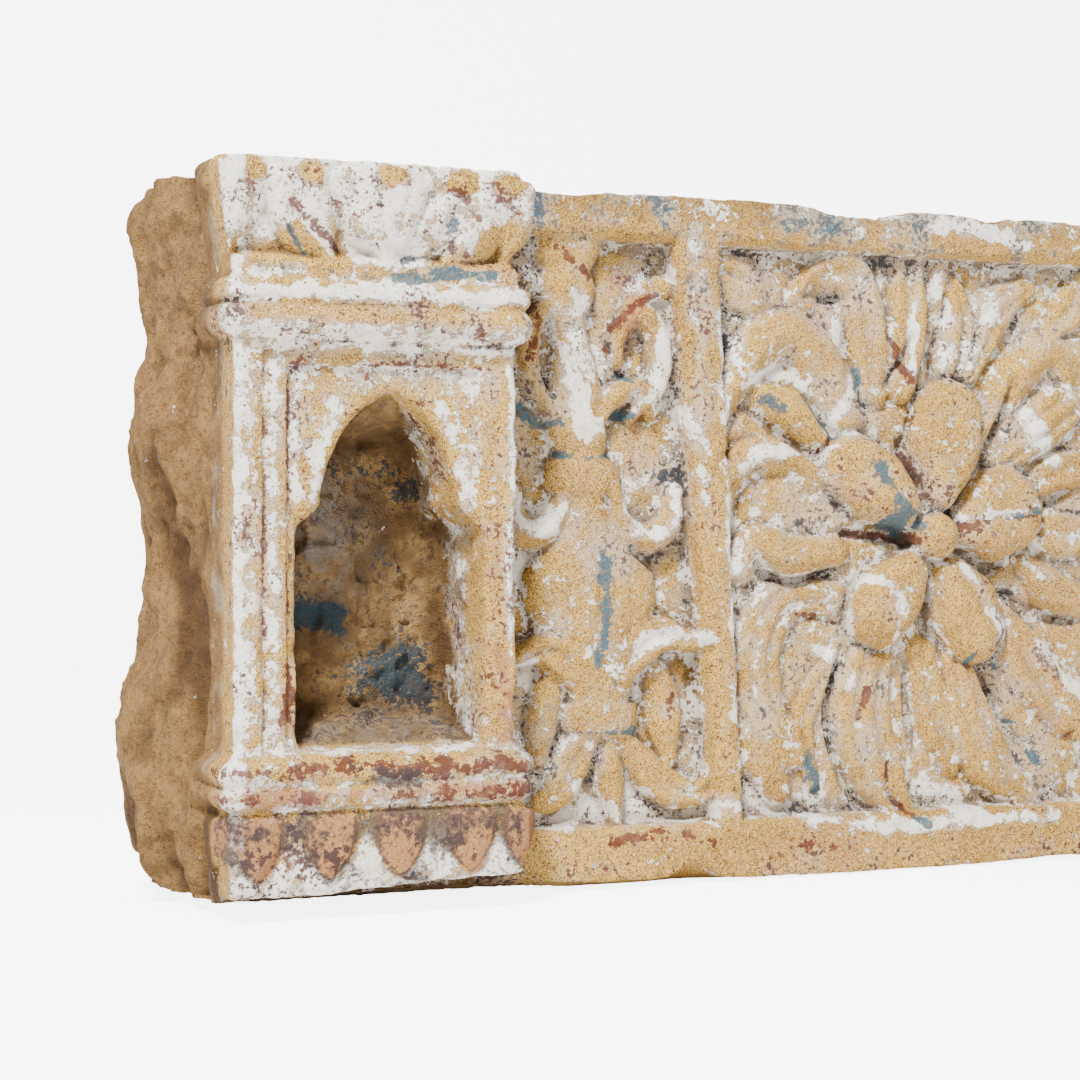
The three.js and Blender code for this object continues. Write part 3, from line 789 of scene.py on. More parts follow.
@dataclass(frozen=True)
class Wreath:
    """The leaves round the rosette. Those past the photographed part are finished in keeping."""

    fullness: float = 1.22
    moat: float = 3.3
    bed_rise: float = 5.5
    back_leaves: tuple[Leaf, ...] = (
        Leaf(((320, 365), (336, 352), (352, 332)), 30, 10, Form.RIDGED),
        Leaf(((395, 255), (372, 272), (350, 285)), 22, 13, Form.RIDGED),
        Leaf(((485, 290), (490, 335), (478, 368)), 26, 13, Form.FLUTED),
        Leaf(((500, 300), (518, 338), (545, 356)), 26, 13, Form.FLUTED),
        Leaf(((550, 200), (574, 196), (600, 198)), 26, 15, Form.GOUGED),
        Leaf(((545, 178), (570, 158), (602, 150)), 24, 14, Form.GOUGED),
        Leaf(((548, 226), (572, 238), (602, 240)), 22, 13, Form.GOUGED),
        Leaf(((340, 98), (352, 66), (362, 40)), 32, 11, Form.ROUND),
        Leaf(((408, 128), (390, 104), (379, 78), (388, 43)), 15, 11, Form.GOUGED),
        Leaf(((560, 110), (588, 84), (604, 50)), 26, 11, Form.ROUND),
        Leaf(((566, 320), (590, 306), (606, 282)), 26, 11, Form.ROUND),
        Leaf(((596, 366), (606, 350), (610, 332)), 20, 9, Form.RIDGED),
        Leaf(((590, 28), (602, 40), (610, 58)), 20, 8, Form.RIDGED),
    )
    leaves: tuple[Leaf, ...] = (
        Leaf(((430, 288), (426, 325), (412, 358), (388, 352), (378, 341)), 27, 14, Form.GOUGED, 0.8, 0.7),
        Leaf(((450, 290), (455, 330), (455, 366)), 24, 15, Form.GOUGED, 0.8, 0.9),
        Leaf(
            ((410, 268), (396, 300), (370, 319), (346, 309), (330, 286), (319, 264)),
            28, 16, Form.RIDGED, 0.9, 0.5,
        ),
        Leaf(
            ((398, 227), (372, 243), (345, 244), (326, 231), (319, 205), (321, 165), (323, 150)),
            21, 15, Form.RIDGED, 0.8, 0.4,
        ),
        Leaf(((402, 187), (368, 182), (347, 190), (334, 177)), 25, 17, Form.ROUND, 0.7, 0.8),
        Leaf(
            ((405, 155), (376, 160), (356, 148), (347, 120), (353, 90), (372, 62)),
            30, 14, Form.FLUTED, 0.7, 0.6,
        ),
        Leaf(((432, 128), (422, 86), (432, 50), (458, 16)), 40, 15, Form.FLUTED, 0.7, 0.35),
        Leaf(((465, 122), (474, 86), (488, 52)), 26, 13, Form.GOUGED, 0.8, 0.6),
        Leaf(((492, 117), (503, 80), (520, 47), (548, 27)), 32, 15, Form.FLUTED, 0.7, 0.5),
        Leaf(((528, 145), (548, 112), (574, 78)), 33, 14, Form.GOUGED, 0.7, 0.6),
        Leaf(((528, 247), (556, 268), (592, 290)), 30, 15, Form.FLUTED, 0.7, 0.6),
        Leaf(((514, 262), (534, 298), (562, 316), (578, 300)), 27, 15, Form.RIDGED, 0.8, 0.6),
        Leaf(((565, 330), (580, 345), (590, 362)), 24, 12, Form.GOUGED),
    )
    cuts: tuple[Groove, ...] = (
        Groove(((384, 345), (396, 345), (408, 342)), 9, 9),
        Groove(((340, 275), (366, 258), (395, 238)), 7, 11),
        Groove(((380, 283), (390, 270), (402, 258), (398, 248), (388, 252)), 4, 6),
        Groove(((408, 292), (410, 316), (412, 336)), 6, 4),
        Groove(((345, 180), (356, 172), (370, 168), (398, 172)), 7, 14),
        Groove(((422, 100), (418, 88), (415, 78)), 4, 5),
        Groove(((436, 50), (440, 35), (452, 20)), 5, 6),
        Groove(((457, 118), (457, 90), (461, 60)), 7, 10),
        Groove(((408, 128), (400, 100), (398, 78), (408, 50), (420, 28)), 5, 10),
        Groove(((508, 116), (520, 90), (535, 70), (550, 57)), 7, 11),
        Groove(((527, 160), (545, 148), (565, 143), (582, 142)), 10, 15),
        Groove(((555, 212), (566, 218), (577, 225)), 7, 9),
        Groove(((510, 247), (525, 272), (532, 295)), 7, 12),
        Groove(((472, 298), (480, 330), (488, 366)), 6, 8),
        Groove(((438, 290), (448, 305), (457, 320)), 5, 8),
        Groove(((320, 358), (331, 354), (340, 350)), 4, 5),
        Groove(((410, 198), (430, 196), (455, 194)), 8, 14),
        Groove(((450, 256), (454, 238), (460, 220)), 6, 14),
        Groove(((463, 182), (467, 160), (470, 134)), 7, 15),
        Groove(((487, 186), (510, 175), (526, 178)), 7, 14),
        Groove(((480, 214), (488, 224), (497, 236)), 6, 13),
        Groove(((411, 160), (415, 140), (428, 124)), 7, 10),
        Groove(((500, 262), (492, 276), (490, 292)), 6, 7),
    )

    def build(self, face: Face) -> None:
        """Carves the low bed and the leaves that stand on it.

        Args:
            face: The front that is carved.
        """
        out = np.abs((face.x - ROSETTE_X) / 150) ** 4 + np.abs((face.z - FIELD_MIDDLE - 6) / 178) ** 4
        bed = (self.bed_rise + 1.5 * face.wander(30.0, 29, 2)) * np.sqrt(np.clip(1.0 - out**2, 0.0, 1.0))
        inside = (face.x > strip_right(face.z) + 2) & (face.x < ROSETTE_END - 2)
        face.depth = np.where(inside, np.minimum(face.depth, GROUND - bed), face.depth)
        for leaf in self.back_leaves + self.leaves:
            face.raise_leaf(replace(leaf, width=self.fullness * leaf.width, moat=self.moat))
        for groove in self.cuts:
            face.cut(groove)


@dataclass(frozen=True)
class Petal:
    """One petal of the rosette."""

    degrees: float
    length: float
    width: float
    rise: float


@dataclass(frozen=True)
class Rosette:
    """The five petals and the boss."""

    centre: tuple[float, float] = (470.0, 196.0)
    boss: float = 15.0
    boss_rise: float = 29.0
    boss_moat: float = 8.0
    dome: float = 9.0
    petal_base: float = 0.3
    petal_tip: float = 0.9
    petal_root: float = 0.72
    petal_droop: float = 0.12
    petal_moat: float = 6.0
    petal_widest: float = 0.85
    petals: tuple[Petal, ...] = (
        Petal(80, 94, 56, 26),
        Petal(300, 84, 56, 25),
        Petal(16, 80, 66, 24),
        Petal(232, 78, 52, 26),
        Petal(143, 86, 52, 27),
    )
    creases: tuple[Groove, ...] = (
        Groove(((425, 240), (442, 222), (458, 205)), 3.5, 2.5),
        Groove(((420, 170), (437, 160), (447, 168)), 3.5, 2.0),
        Groove(((437, 160), (440, 146), (440, 130)), 3.5, 2.0),
        Groove(((487, 203), (516, 208), (545, 213)), 3.5, 3.0),
        Groove(((478, 262), (480, 269), (483, 276)), 4.5, 4.0),
        Groove(((485, 175), (503, 150), (518, 136)), 3.5, 2.0),
    )

    def build(self, face: Face) -> None:
        """Carves the petals and the boss.

        Args:
            face: The front that is carved.
        """
        x, z = self.centre
        for petal in self.petals:
            angle = math.radians(petal.degrees)
            way = (math.cos(angle), math.sin(angle))
            tip = petal.length - 0.32 * petal.width
            spine = tuple((x + r * way[0], z + r * way[1]) for r in (8.0, 0.5 * tip, tip))
            form = Leaf(
                spine,
                petal.width,
                petal.rise,
                Form.CREASED,
                self.petal_base,
                self.petal_tip,
                self.petal_root,
                self.petal_droop,
                self.petal_moat,
                self.petal_widest,
            )
            face.raise_leaf(form)
        for crease in self.creases:
            face.cut(crease)
        out = np.hypot(face.x - x, face.z - z) / self.boss
        moat = self.boss_moat * bell(out, 1.12, 0.16)
        face.depth = np.minimum(face.depth + moat * (out >= 1), GROUND + 2.0)
        dome = GROUND - self.boss_rise + self.dome * out**2
        face.depth = np.where(out < 1, np.minimum(face.depth, dome), face.depth)


@dataclass(frozen=True)
class Wear:
    """Where limewash, colour and dirt are left on the front, and where shade is painted on it."""

    pier_lime: float = 0.42
    field_lime: float = 0.32
    band_lime: float = 0.36
    foot_lime: float = 0.16
    bare_lime: float = 0.12
    roll_lime: tuple[float, float] = (0.20, 0.42)
    capital_lime: tuple[float, float] = (0.10, 0.60)
    field_red: float = 0.22
    pier_red: float = 0.29
    field_blue: float = 0.20
    pier_blue: float = 0.10
    band_blue: float = 0.34
    dust: float = 0.12
    capital_dust: float = 0.04
    plinth_right: float = 172.0
    plinth_top: float = 47.0
    plinth_depth: float = 30.0
    lime: tuple[Patch, ...] = (
        (((86, 386), (88, 370), (90, 350)), 44, 0.95), (((36, 382), (42, 368), (54, 352)), 12, 0.85),
        (((5, 398), (60, 398), (120, 398), (160, 396)), 16, 0.6),
        (((28, 385), (40, 368), (55, 352)), 14, 0.8), (((140, 385), (130, 368), (115, 352)), 14, 0.75),
        (((0, 395), (2, 340)), 16, 0.85), (((2, 328), (80, 328), (164, 328)), 14, 0.95),
        (((2, 300), (2, 200), (3, 80)), 10, 0.95), (((4, 299), (90, 299), (162, 299)), 7, 0.85),
        (((24, 290), (23, 200), (24, 90)), 11, 0.78), (((162, 290), (162, 200), (161, 130)), 8, 0.8),
        (((40, 283), (90, 288), (136, 283)), 9, 0.7), (((36, 270), (35, 240), (37, 214)), 6, 0.8),
        (((8, 280), (9, 200), (8, 100)), 10, 0.62), (((60, 268), (50, 240), (46, 214)), 12, 0.8),
        (((122, 268), (133, 240), (140, 214)), 12, 0.7),
        (((0, 78), (60, 78), (120, 78), (170, 78)), 5, 0.6),
        (((0, 62), (80, 61.5), (180, 61.5)), 3.5, 0.7), (((5, 10), (50, 6), (92, 8), (160, 8)), 26, 0.95),
        (((30, 30), (33, 16)), 22, 0.95), (((72, 30), (72, 12)), 20, 0.95),
        (((113, 30), (113, 12)), 20, 0.95), (((154, 30), (154, 12)), 18, 0.95),
        (((225, 330), (222, 290), (230, 256)), 22, 0.95),
        (((258, 212), (272, 196), (288, 206), (290, 222)), 14, 0.95),
        (((215, 212), (198, 198), (186, 208), (185, 222)), 14, 0.95),
        (((278, 334), (282, 312), (278, 292)), 16, 0.9), (((264, 278), (285, 274), (300, 262)), 18, 0.8),
        (((262, 128), (282, 138), (306, 134)), 14, 0.85), (((196, 112), (192, 124)), 16, 0.9),
        (((226, 46), (234, 36), (242, 30)), 16, 0.95), (((262, 40), (272, 32), (290, 28)), 14, 0.9),
        (((196, 27), (260, 27), (330, 27)), 10, 0.75), (((300, 40), (312, 34), (330, 30)), 14, 0.8),
        (((300, 380), (300, 300), (304, 220)), 14, 0.55),
        (((316, 330), (322, 250), (326, 150), (330, 60)), 10, 0.7),
        (((340, 290), (365, 296), (386, 284)), 9, 0.95), (((322, 318), (330, 304), (340, 294)), 18, 0.9),
        (((404, 330), (410, 300), (414, 280)), 12, 0.85), (((457, 345), (457, 320), (455, 300)), 8, 0.95),
        (((416, 284), (404, 276), (396, 262)), 14, 0.8), (((334, 236), (346, 247), (372, 247)), 11, 0.9),
        (((328, 178), (336, 164), (350, 160)), 10, 0.7), (((394, 130), (402, 118), (412, 106)), 16, 0.85),
        (((520, 345), (500, 320), (492, 296)), 20, 0.75), (((540, 280), (548, 262), (564, 244)), 18, 0.9),
        (((475, 360), (482, 330), (480, 300)), 12, 0.85), (((470, 36), (485, 32), (500, 22)), 22, 0.95),
        (((340, 34), (400, 20), (440, 16), (560, 16)), 12, 0.85),
        (((470, 392), (500, 390), (540, 380)), 16, 0.85), (((556, 120), (574, 104), (596, 90)), 18, 0.7),
        (((490, 176), (504, 152), (520, 134)), 12, 0.9), (((420, 170), (437, 160), (440, 132)), 8, 0.9),
        (((486, 206), (516, 210), (545, 214)), 7, 0.9),
    )
    blue: tuple[Patch, ...] = (
        (((75, 339), (110, 340), (150, 341)), 10, 1.0), (((15, 341), (50, 339), (75, 340)), 7, 0.65),
        (((125, 370), (112, 352), (95, 346)), 6, 0.75), (((25, 370), (33, 356), (42, 346)), 6, 0.7),
        (((236, 120), (240, 150), (238, 184)), 10, 0.8), (((226, 80), (246, 79), (266, 80)), 6, 0.95),
        (((246, 96), (248, 116)), 8, 0.8), (((214, 243), (232, 242), (246, 243)), 6, 0.9),
        (((186, 274), (200, 262), (214, 262)), 9, 0.75), (((248, 268), (260, 267)), 7, 0.85),
        (((200, 182), (196, 176)), 10, 0.5), (((256, 290), (260, 288)), 6, 0.9),
        (((200, 390), (240, 388), (320, 390), (400, 384)), 18, 0.42),
        (((430, 378), (500, 374), (560, 378)), 10, 0.5), (((424, 240), (440, 216), (454, 206)), 14, 0.8),
        (((436, 204), (446, 200)), 14, 0.9), (((412, 304), (420, 292)), 14, 0.8),
        (((380, 280), (392, 266), (400, 256)), 8, 0.9), (((352, 280), (362, 273)), 10, 0.9),
        (((380, 62), (386, 50), (390, 42)), 13, 0.95), (((455, 19), (465, 15)), 8, 0.95),
        (((530, 80), (536, 76)), 7, 0.9), (((550, 54), (553, 51)), 7, 0.9),
        (((497, 121), (497, 116)), 7, 0.9), (((516, 129), (517, 125)), 6, 0.9),
        (((514, 150), (520, 118)), 18, 0.5), (((546, 212), (520, 208)), 7, 0.75),
        (((532, 145), (550, 138)), 10, 0.6), (((470, 309), (478, 298)), 8, 0.8),
    )
    red: tuple[Patch, ...] = (
        (((28, 376), (44, 362), (60, 351)), 7, 0.85), (((118, 388), (130, 384), (136, 372)), 8, 0.6),
        (((17, 290), (17, 200), (17, 90)), 4, 0.62), (((32, 284), (31, 200), (32, 90)), 3.5, 0.55),
        (((32, 289), (90, 290), (143, 289)), 4, 0.6), (((30, 95), (32, 110), (30, 125)), 14, 0.75),
        (((150, 120), (154, 100)), 10, 0.5), (((0, 69), (60, 70), (120, 69), (180, 68)), 15, 0.72),
        (((0, 56), (60, 55), (120, 54), (180, 54)), 13, 0.55), (((46, 42), (52, 30), (52, 15)), 12, 0.7),
        (((88, 40), (92, 26)), 14, 0.8), (((130, 34), (134, 20)), 10, 0.5),
        (((166, 38), (168, 20)), 16, 0.9), (((250, 320), (262, 333), (278, 340)), 4.5, 0.95),
        (((248, 296), (247, 308)), 6, 0.9), (((188, 345), (198, 320), (192, 300)), 8, 0.7),
        (((200, 372), (214, 362), (232, 350)), 6, 0.8), (((288, 100), (286, 84), (290, 66)), 6, 0.6),
        (((262, 345), (264, 300), (264, 240)), 26, 0.40), (((286, 112), (300, 116)), 8, 0.6),
        (((245, 14), (262, 18), (275, 20)), 8, 0.75), (((293, 18), (302, 14), (310, 11)), 8, 0.75),
        (((362, 9), (375, 6)), 7, 0.8), (((390, 7), (396, 4)), 6, 0.7),
        (((486, 202), (516, 206), (545, 210)), 4, 0.85), (((448, 252), (456, 240), (462, 222)), 9, 0.8),
        (((412, 197), (430, 196), (452, 194)), 9, 0.9), (((438, 322), (448, 306), (456, 292)), 7, 0.85),
        (((372, 148), (386, 146), (400, 142)), 6, 0.7), (((422, 100), (416, 80)), 7, 0.7),
        (((436, 52), (440, 34), (456, 18)), 8, 0.9), (((398, 258), (392, 250)), 10, 0.8),
        (((552, 120), (570, 100)), 14, 0.6),
    )
    pink: tuple[Patch, ...] = (
        (((14, 160), (16, 130)), 18, 0.4), (((35, 262), (80, 286), (130, 280)), 16, 0.45),
        (((154, 130), (158, 100), (160, 84)), 18, 0.7),
        (((0, 56), (60, 55), (120, 55), (180, 55)), 15, 0.8), (((52, 38), (52, 20)), 22, 1.0),
        (((92, 38), (92, 20)), 22, 1.0), (((134, 38), (134, 20)), 22, 1.0),
        (((12, 38), (14, 20)), 18, 0.8), (((250, 350), (262, 335), (264, 322)), 26, 0.6),
        (((266, 278), (266, 250), (262, 232)), 24, 0.5),
    )
    grime_and_shade: tuple[Patch, ...] = (
        # Painted shadow: the first line, along z 301, is the cap roll's shadow.
        (((0, 301), (80, 301), (164, 301)), 3.5, 0.62), (((72, 66), (100, 62)), 22, 0.72),
        (((5, 42), (60, 44), (130, 44), (170, 40)), 7, 0.55), (((88, 6), (110, 10), (150, 6)), 14, 0.55),
    )

    def dress(self, face: Face) -> None:
        """Works out what covers each place.

        Args:
            face: The carved front.
        """
        x, z = face.x, face.z
        cells = 1.0 / face.step
        hollow = face.depth - blurred(face.depth, 5.0 * cells)
        wide = face.depth - blurred(face.depth, 16.0 * cells)
        recess = np.clip(0.16 * hollow + 0.05 * wide, -1.0, 1.0)
        on_pier = (x < PIER_WIDTH + pier_reach(z)) & (z > -2)
        in_field = (face.depth > WALL_FACE + 2.5) & ~on_pier
        lime = np.where(on_pier, self.pier_lime, np.where(in_field, self.field_lime, self.band_lime))
        lime = lime + np.where(on_pier, 0.2, 0.26) * recess + 0.16 * face.wander(38.0, 83, 2)
        capital = on_pier & (z > CAPITAL_FOOT)
        centre_leaf = 1 - ease(20, 26, np.abs(x - 88))
        upper = ease(356, 368, z + 6.0 * face.warp + 8.0 * np.sin(x / 9.0))
        least, gain = self.capital_lime
        lime = np.where(capital, least + gain * np.maximum(upper, centre_leaf) + 0.10 * recess, lime)
        lime = np.where(~on_pier & (z < FIELD_FOOT - 1), self.foot_lime, lime)
        roll = on_pier & (z > 301) & (z < 323)
        least, gain = self.roll_lime
        lime = np.where(roll, least + gain * (1 - ease(309, 314, z + 4.0 * face.warp)), lime)
        face.paint[Paint.LIME] = np.clip(lime, 0.0, 1.0)
        face.paint[Paint.RED] = np.where(in_field, self.field_red + 0.14 * recess, self.pier_red)
        face.paint[Paint.BLUE] = np.where(in_field, self.field_blue + 0.14 * recess, self.pier_blue)
        top_band = ~on_pier & ~in_field & (z > 340)
        face.paint[Paint.BLUE] = np.where(top_band, self.band_blue, face.paint[Paint.BLUE])
        face.paint[Paint.GRIME_AND_SHADE] = np.clip(self.dust + 0.16 * recess, 0.0, 0.30)
        face.paint[Paint.GRIME_AND_SHADE] = np.where(capital, self.capital_dust, face.paint[Paint.GRIME_AND_SHADE])
        patches = (self.lime, self.blue, self.red, self.pink, self.grime_and_shade)
        for kind, marks in zip(Paint, patches):
            for line, width, amount in marks:
                face.stain(Stain(kind, line, width, amount))
        self.dress_rim(face)
        self.dress_plinth(face)

    def dress_rim(self, face: Face) -> None:
        """Leaves the capital's rim lobes bare and outlines them.

        Args:
            face: The carved front.
        """
        for centre in LOBE_PLACES:
            out = np.hypot((face.x - centre) / 11.0, (face.z - 391.0) / 7.5) + 0.25 * face.warp
            inside = 1 - ease(0.75, 1.0, out)
            face.paint[Paint.LIME] = mix(face.paint[Paint.LIME], self.bare_lime, inside)
            under = bell(out, 1.05, 0.16) * (face.z < 392)
            face.paint[Paint.RED] = np.maximum(face.paint[Paint.RED], 0.55 * under)
        for groove in Pier().capital_cuts:
            face.stain(Stain(Paint.GRIME_AND_SHADE, groove.line, 3.0, 0.55))

    def dress_plinth(self, face: Face) -> None:
        """Colours the hanging drops and the cracked limewash between them, and paints shade round each
        drop.

        Args:
            face: The carved front.
        """
        x, z, paint = face.x, face.z, face.paint
        plinth = (x < self.plinth_right) & (z < self.plinth_top) & (face.depth < self.plinth_depth)
        limed = 0.74 - 0.014 * np.clip(z - 8, 0, 40)
        dirty = 0.37 + 0.26 * ease(20.0, 36.0, z) + 0.06 * bell(x, 120.0, 40.0) + 0.2 * face.warp
        reddened = 0.22 + 0.3 * bell(x, 25.0, 20.0)
        for kind, cover in ((Paint.LIME, limed), (Paint.GRIME_AND_SHADE, dirty), (Paint.RED, reddened)):
            paint[kind] = np.where(plinth, cover, paint[kind])
        down = np.clip((DROP_LINE - z) / DROP_HEIGHT, 0.0, 1.0)
        half = drop_half_width(down)
        for centre in DROP_PLACES:
            inside = ease(-1.0, 1.0, half - np.abs(x - centre)) * (z < 44) * (z > 9)
            paint[Paint.PINK] = np.maximum(paint[Paint.PINK] * (1 - inside), 0.85 * inside)
            paint[Paint.LIME] = paint[Paint.LIME] * (1 - inside) + self.bare_lime * inside
            # Painted shade: a dark band is laid round the edge of each drop.
            rim = bell(half - np.abs(x - centre), 0.5, 1.6) * (z < 44) * (z > 8)
            paint[Paint.GRIME_AND_SHADE] = np.clip(paint[Paint.GRIME_AND_SHADE] * (1 - 0.2 * inside) + 0.35 * rim, 0, 1)
            paint[Paint.RED] = np.where(inside > 0.5, 0.32 + 0.3 * face.warp, paint[Paint.RED])


@dataclass(frozen=True)
class HewnBlock:
    """The block round the carved front: swelling broken side, worn top, chipped foot, flat back."""

    rings: int = 30
    swell: Points = (
        (0, 6), (0.07, 22), (0.16, 30), (0.32, 19), (0.46, 8), (0.62, 22), (0.8, 8), (0.94, 18), (1, 10),
    )
    dips: tuple[tuple[float, float, float], ...] = (
        (33, 5, 3), (63, 3.5, 6), (68, 3, 5), (80, 2.5, 4), (94, 5, 3),
    )
    chips: tuple[tuple[float, float, float], ...] = (
        (20, 22, 8), (28, 1.6, 2), (46.5, 2.2, 11), (88, 8, 2),
    )
    return_width: float = 20.0
    foot_rise: float = 16.0
    back_break: float = 5.0

    def weather(self, points: np.ndarray) -> np.ndarray:
        """Moves the block's places to the broken form.

        Args:
            points: Places, one row each.

        Returns:
            The moved places.
        """
        x, y, z = points.T.copy()
        along = x / WALL_LENGTH
        deep = (y - WALL_FACE) / (BACK - WALL_FACE)
        high = (z + BED) / (TOP + BED)
        wave = 0.5 * np.sin(x / 23 + 1.3 * np.sin(z / 31) + y / 17)
        wave += 0.3 * np.sin(x / 11 - z / 13 + 2) + 0.2 * np.sin(z / 7 + y / 9 + x / 19)
        leftward = 1 - ease(0, 0.09, along)
        kept = 1 - ease(0.96, 1, along)
        at_back, at_top, at_foot = ease(0.8, 1, deep), ease(0.93, 1, high), 1 - ease(0, 0.07, high)
        at_front = 1 - ease(0, 0.2, deep)
        line = curve_through(self.swell)
        bulge = np.interp(high, line[:, 0], line[:, 1]) + 4 * wave
        x -= leftward * ease(0, 0.5, deep) * (1 - 0.3 * at_back) * bulge
        share = np.clip(1.0 - along * WALL_LENGTH / self.return_width, 0.0, 1.0)
        x -= pier_reach(z) * share * (1.0 - ease(48.0, 62.0, y))
        worn = sum(size * bell(100 * along, at, width) for at, width, size in self.dips)
        chipped = sum(size * bell(100 * along, at, width) for at, width, size in self.chips)
        ragged = 1.0 + rough(points, 11.0, 61, 3)
        z -= at_top * (worn + 1.3 * ragged + 2 * at_back * kept * (1 + wave))
        z += 1.1 * (1 - ease(0, 0.03, high)) * at_front * ragged
        z += at_foot * (at_front * chipped + leftward * ease(0.3, 1, deep) * self.foot_rise)
        y -= at_back * (at_top + leftward) * kept * self.back_break * (1 + 0.8 * wave)
        return np.stack([x, y, z], axis=1)

    def build(self, face: Face) -> Shape:
        """Closes the carved front into a block.

        Args:
            face: The carved front.

        Returns:
            The places and the faces.
        """
        rows, columns = face.x.shape
        number = np.arange(rows * columns).reshape(rows, columns)
        front = np.stack([face.x.ravel(), face.depth.ravel(), face.z.ravel()], axis=1)
        quads = np.stack([number[:-1, :-1], number[:-1, 1:], number[1:, 1:], number[1:, :-1]], axis=-1)
        faces = [tuple(q) for q in quads.reshape(-1, 4).tolist()]
        rim = np.concatenate([number[0, :-1], number[:-1, -1], number[-1, :0:-1], number[:0:-1, 0]])
        count = len(rim)
        layers, before = [front], rim
        for ring in range(1, self.rings + 1):
            layer = front[rim].copy()
            layer[:, 1] = mix(layer[:, 1], BACK, ring / self.rings)
            layers.append(layer)
            now = len(front) + (ring - 1) * count + np.arange(count)
            strip = np.stack([before, now, np.roll(now, -1), np.roll(before, -1)], axis=1)
            faces += [tuple(q) for q in strip.tolist()]
            before = now
        faces.append(tuple(before.tolist()))
        return self.weather(np.vstack(layers)), faces


@dataclass(frozen=True)
class Site:
    """The stone's own frame within the model's."""

    origin: Vector

    @classmethod
    def of_node(cls, node: str) -> "Site":
        """Finds the frame from the CAD solid's box.

        Args:
            node: The CAD node.

        Returns:
            The frame.
        """
        low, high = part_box(node)
        length, depth = WALL_LENGTH * MILLIMETRE, BACK * MILLIMETRE
        return cls(Vector((high.x - length, high.y - depth, low.z + BED * MILLIMETRE)))

    def outward(self, points: np.ndarray) -> np.ndarray:
        """Turns the stone's millimetres into the model's metres.

        Args:
            points: Places, one row each.

        Returns:
            The same places in metres.
        """
        return points * MILLIMETRE + np.array(self.origin)

    def inward(self, points: np.ndarray) -> np.ndarray:
        """Turns the model's metres into the stone's millimetres.

        Args:
            points: Places, one row each.

        Returns:
            The same places in millimetres.
        """
        return (points - np.array(self.origin)) / MILLIMETRE


def mesh_object(
    name: str, points: np.ndarray, faces: Faces, edges: list[tuple[int, int]] | None = None
) -> bpy.types.Object:
    """Makes a mesh object at the origin.

    Args:
        name: Its name.
        points: Places in metres.
        faces: Corner numbers of each face.
        edges: Corner numbers of loose edges.

    Returns:
        The object, linked to the scene.
    """
    mesh = bpy.data.meshes.new(name)
    mesh.from_pydata([tuple(p) for p in points], edges or [], faces)
    mesh.update()
    made = bpy.data.objects.new(name, mesh)
    bpy.context.scene.collection.objects.link(made)
    return made


def taken(item: bpy.types.Object) -> Shape:
    """Takes an object's evaluated mesh and removes the object.

    Args:
        item: The object, modifiers and all.

    Returns:
        Its places and faces.
    """
    bpy.context.view_layer.update()
    graph = bpy.context.evaluated_depsgraph_get()
    mesh = bpy.data.meshes.new_from_object(item.evaluated_get(graph))
    points = np.zeros(3 * len(mesh.vertices))
    mesh.vertices.foreach_get("co", points)
    faces = [tuple(polygon.vertices) for polygon in mesh.polygons]
    bpy.data.meshes.remove(mesh)
    bpy.data.objects.remove(item)
    return points.reshape(-1, 3), faces


@dataclass
class Graph:
    """A node tree that is written out in code."""

    tree: bpy.types.NodeTree

    def node(
        self, kind: str, settings: dict[str, object] | None = None, **inputs: object
    ) -> bpy.types.Node:
        """Adds a node.

        Args:
            kind: The node's type.
            settings: Its own settings, set first.
            **inputs: Values or links by socket name, with _ for a space, or in0, in1 by number.

        Returns:
            The node.
        """
        made = self.tree.nodes.new(kind)
        for key, value in (settings or {}).items():
            setattr(made, key, value)
        for key, value in inputs.items():
            numbered = key.startswith("in") and key[2:].isdigit()
            socket = made.inputs[int(key[2:])] if numbered else made.inputs[key.replace("_", " ")]
            self.feed(socket, value)
        return made

    def feed(self, socket: bpy.types.NodeSocket, value: object) -> None:
        """Sets or links a socket.

        Args:
            socket: The socket.
            value: A number, a tuple, a datablock, a socket or a Value.
        """
        if isinstance(value, Value):
            value = value.socket
        if isinstance(value, bpy.types.NodeSocket):
            self.tree.links.new(value, socket)
        else:
            socket.default_value = value

    def math(self, operation: str, *terms: object, clamp: bool = False) -> "Value":
        """Adds a Math node.

        Args:
            operation: What it does.
            *terms: Numbers or Values.
            clamp: Whether the result stays between 0 and 1.

        Returns:
            The result.
        """
        made = self.node("ShaderNodeMath", {"operation": operation, "use_clamp": clamp})
        for socket, term in zip(made.inputs, terms):
            self.feed(socket, term)
        return Value(self, made.outputs[0])

    def blend(
        self, factor: object, first: object, second: object, how: str = "MIX"
    ) -> bpy.types.NodeSocket:
        """Mixes two colours.

        Args:
            factor: How much of the second.
            first: The first colour.
            second: The second colour.
            how: The way they are mixed.

        Returns:
            The mixed colour.
        """
        settings = {"data_type": "RGBA", "blend_type": how, "clamp_factor": True}
        return self.node("ShaderNodeMix", settings, in0=factor, in6=first, in7=second).outputs[2]

    def step(self, value: object, low: object, high: object) -> "Value":
        """A soft step from 0 to 1.

        Args:
            value: What is measured.
            low: Where the step starts.
            high: Where it ends.

        Returns:
            The step.
        """
        settings = {"interpolation_type": "SMOOTHSTEP"}
        made = self.node("ShaderNodeMapRange", settings, Value=value, From_Min=low, From_Max=high)
        return Value(self, made.outputs[0])


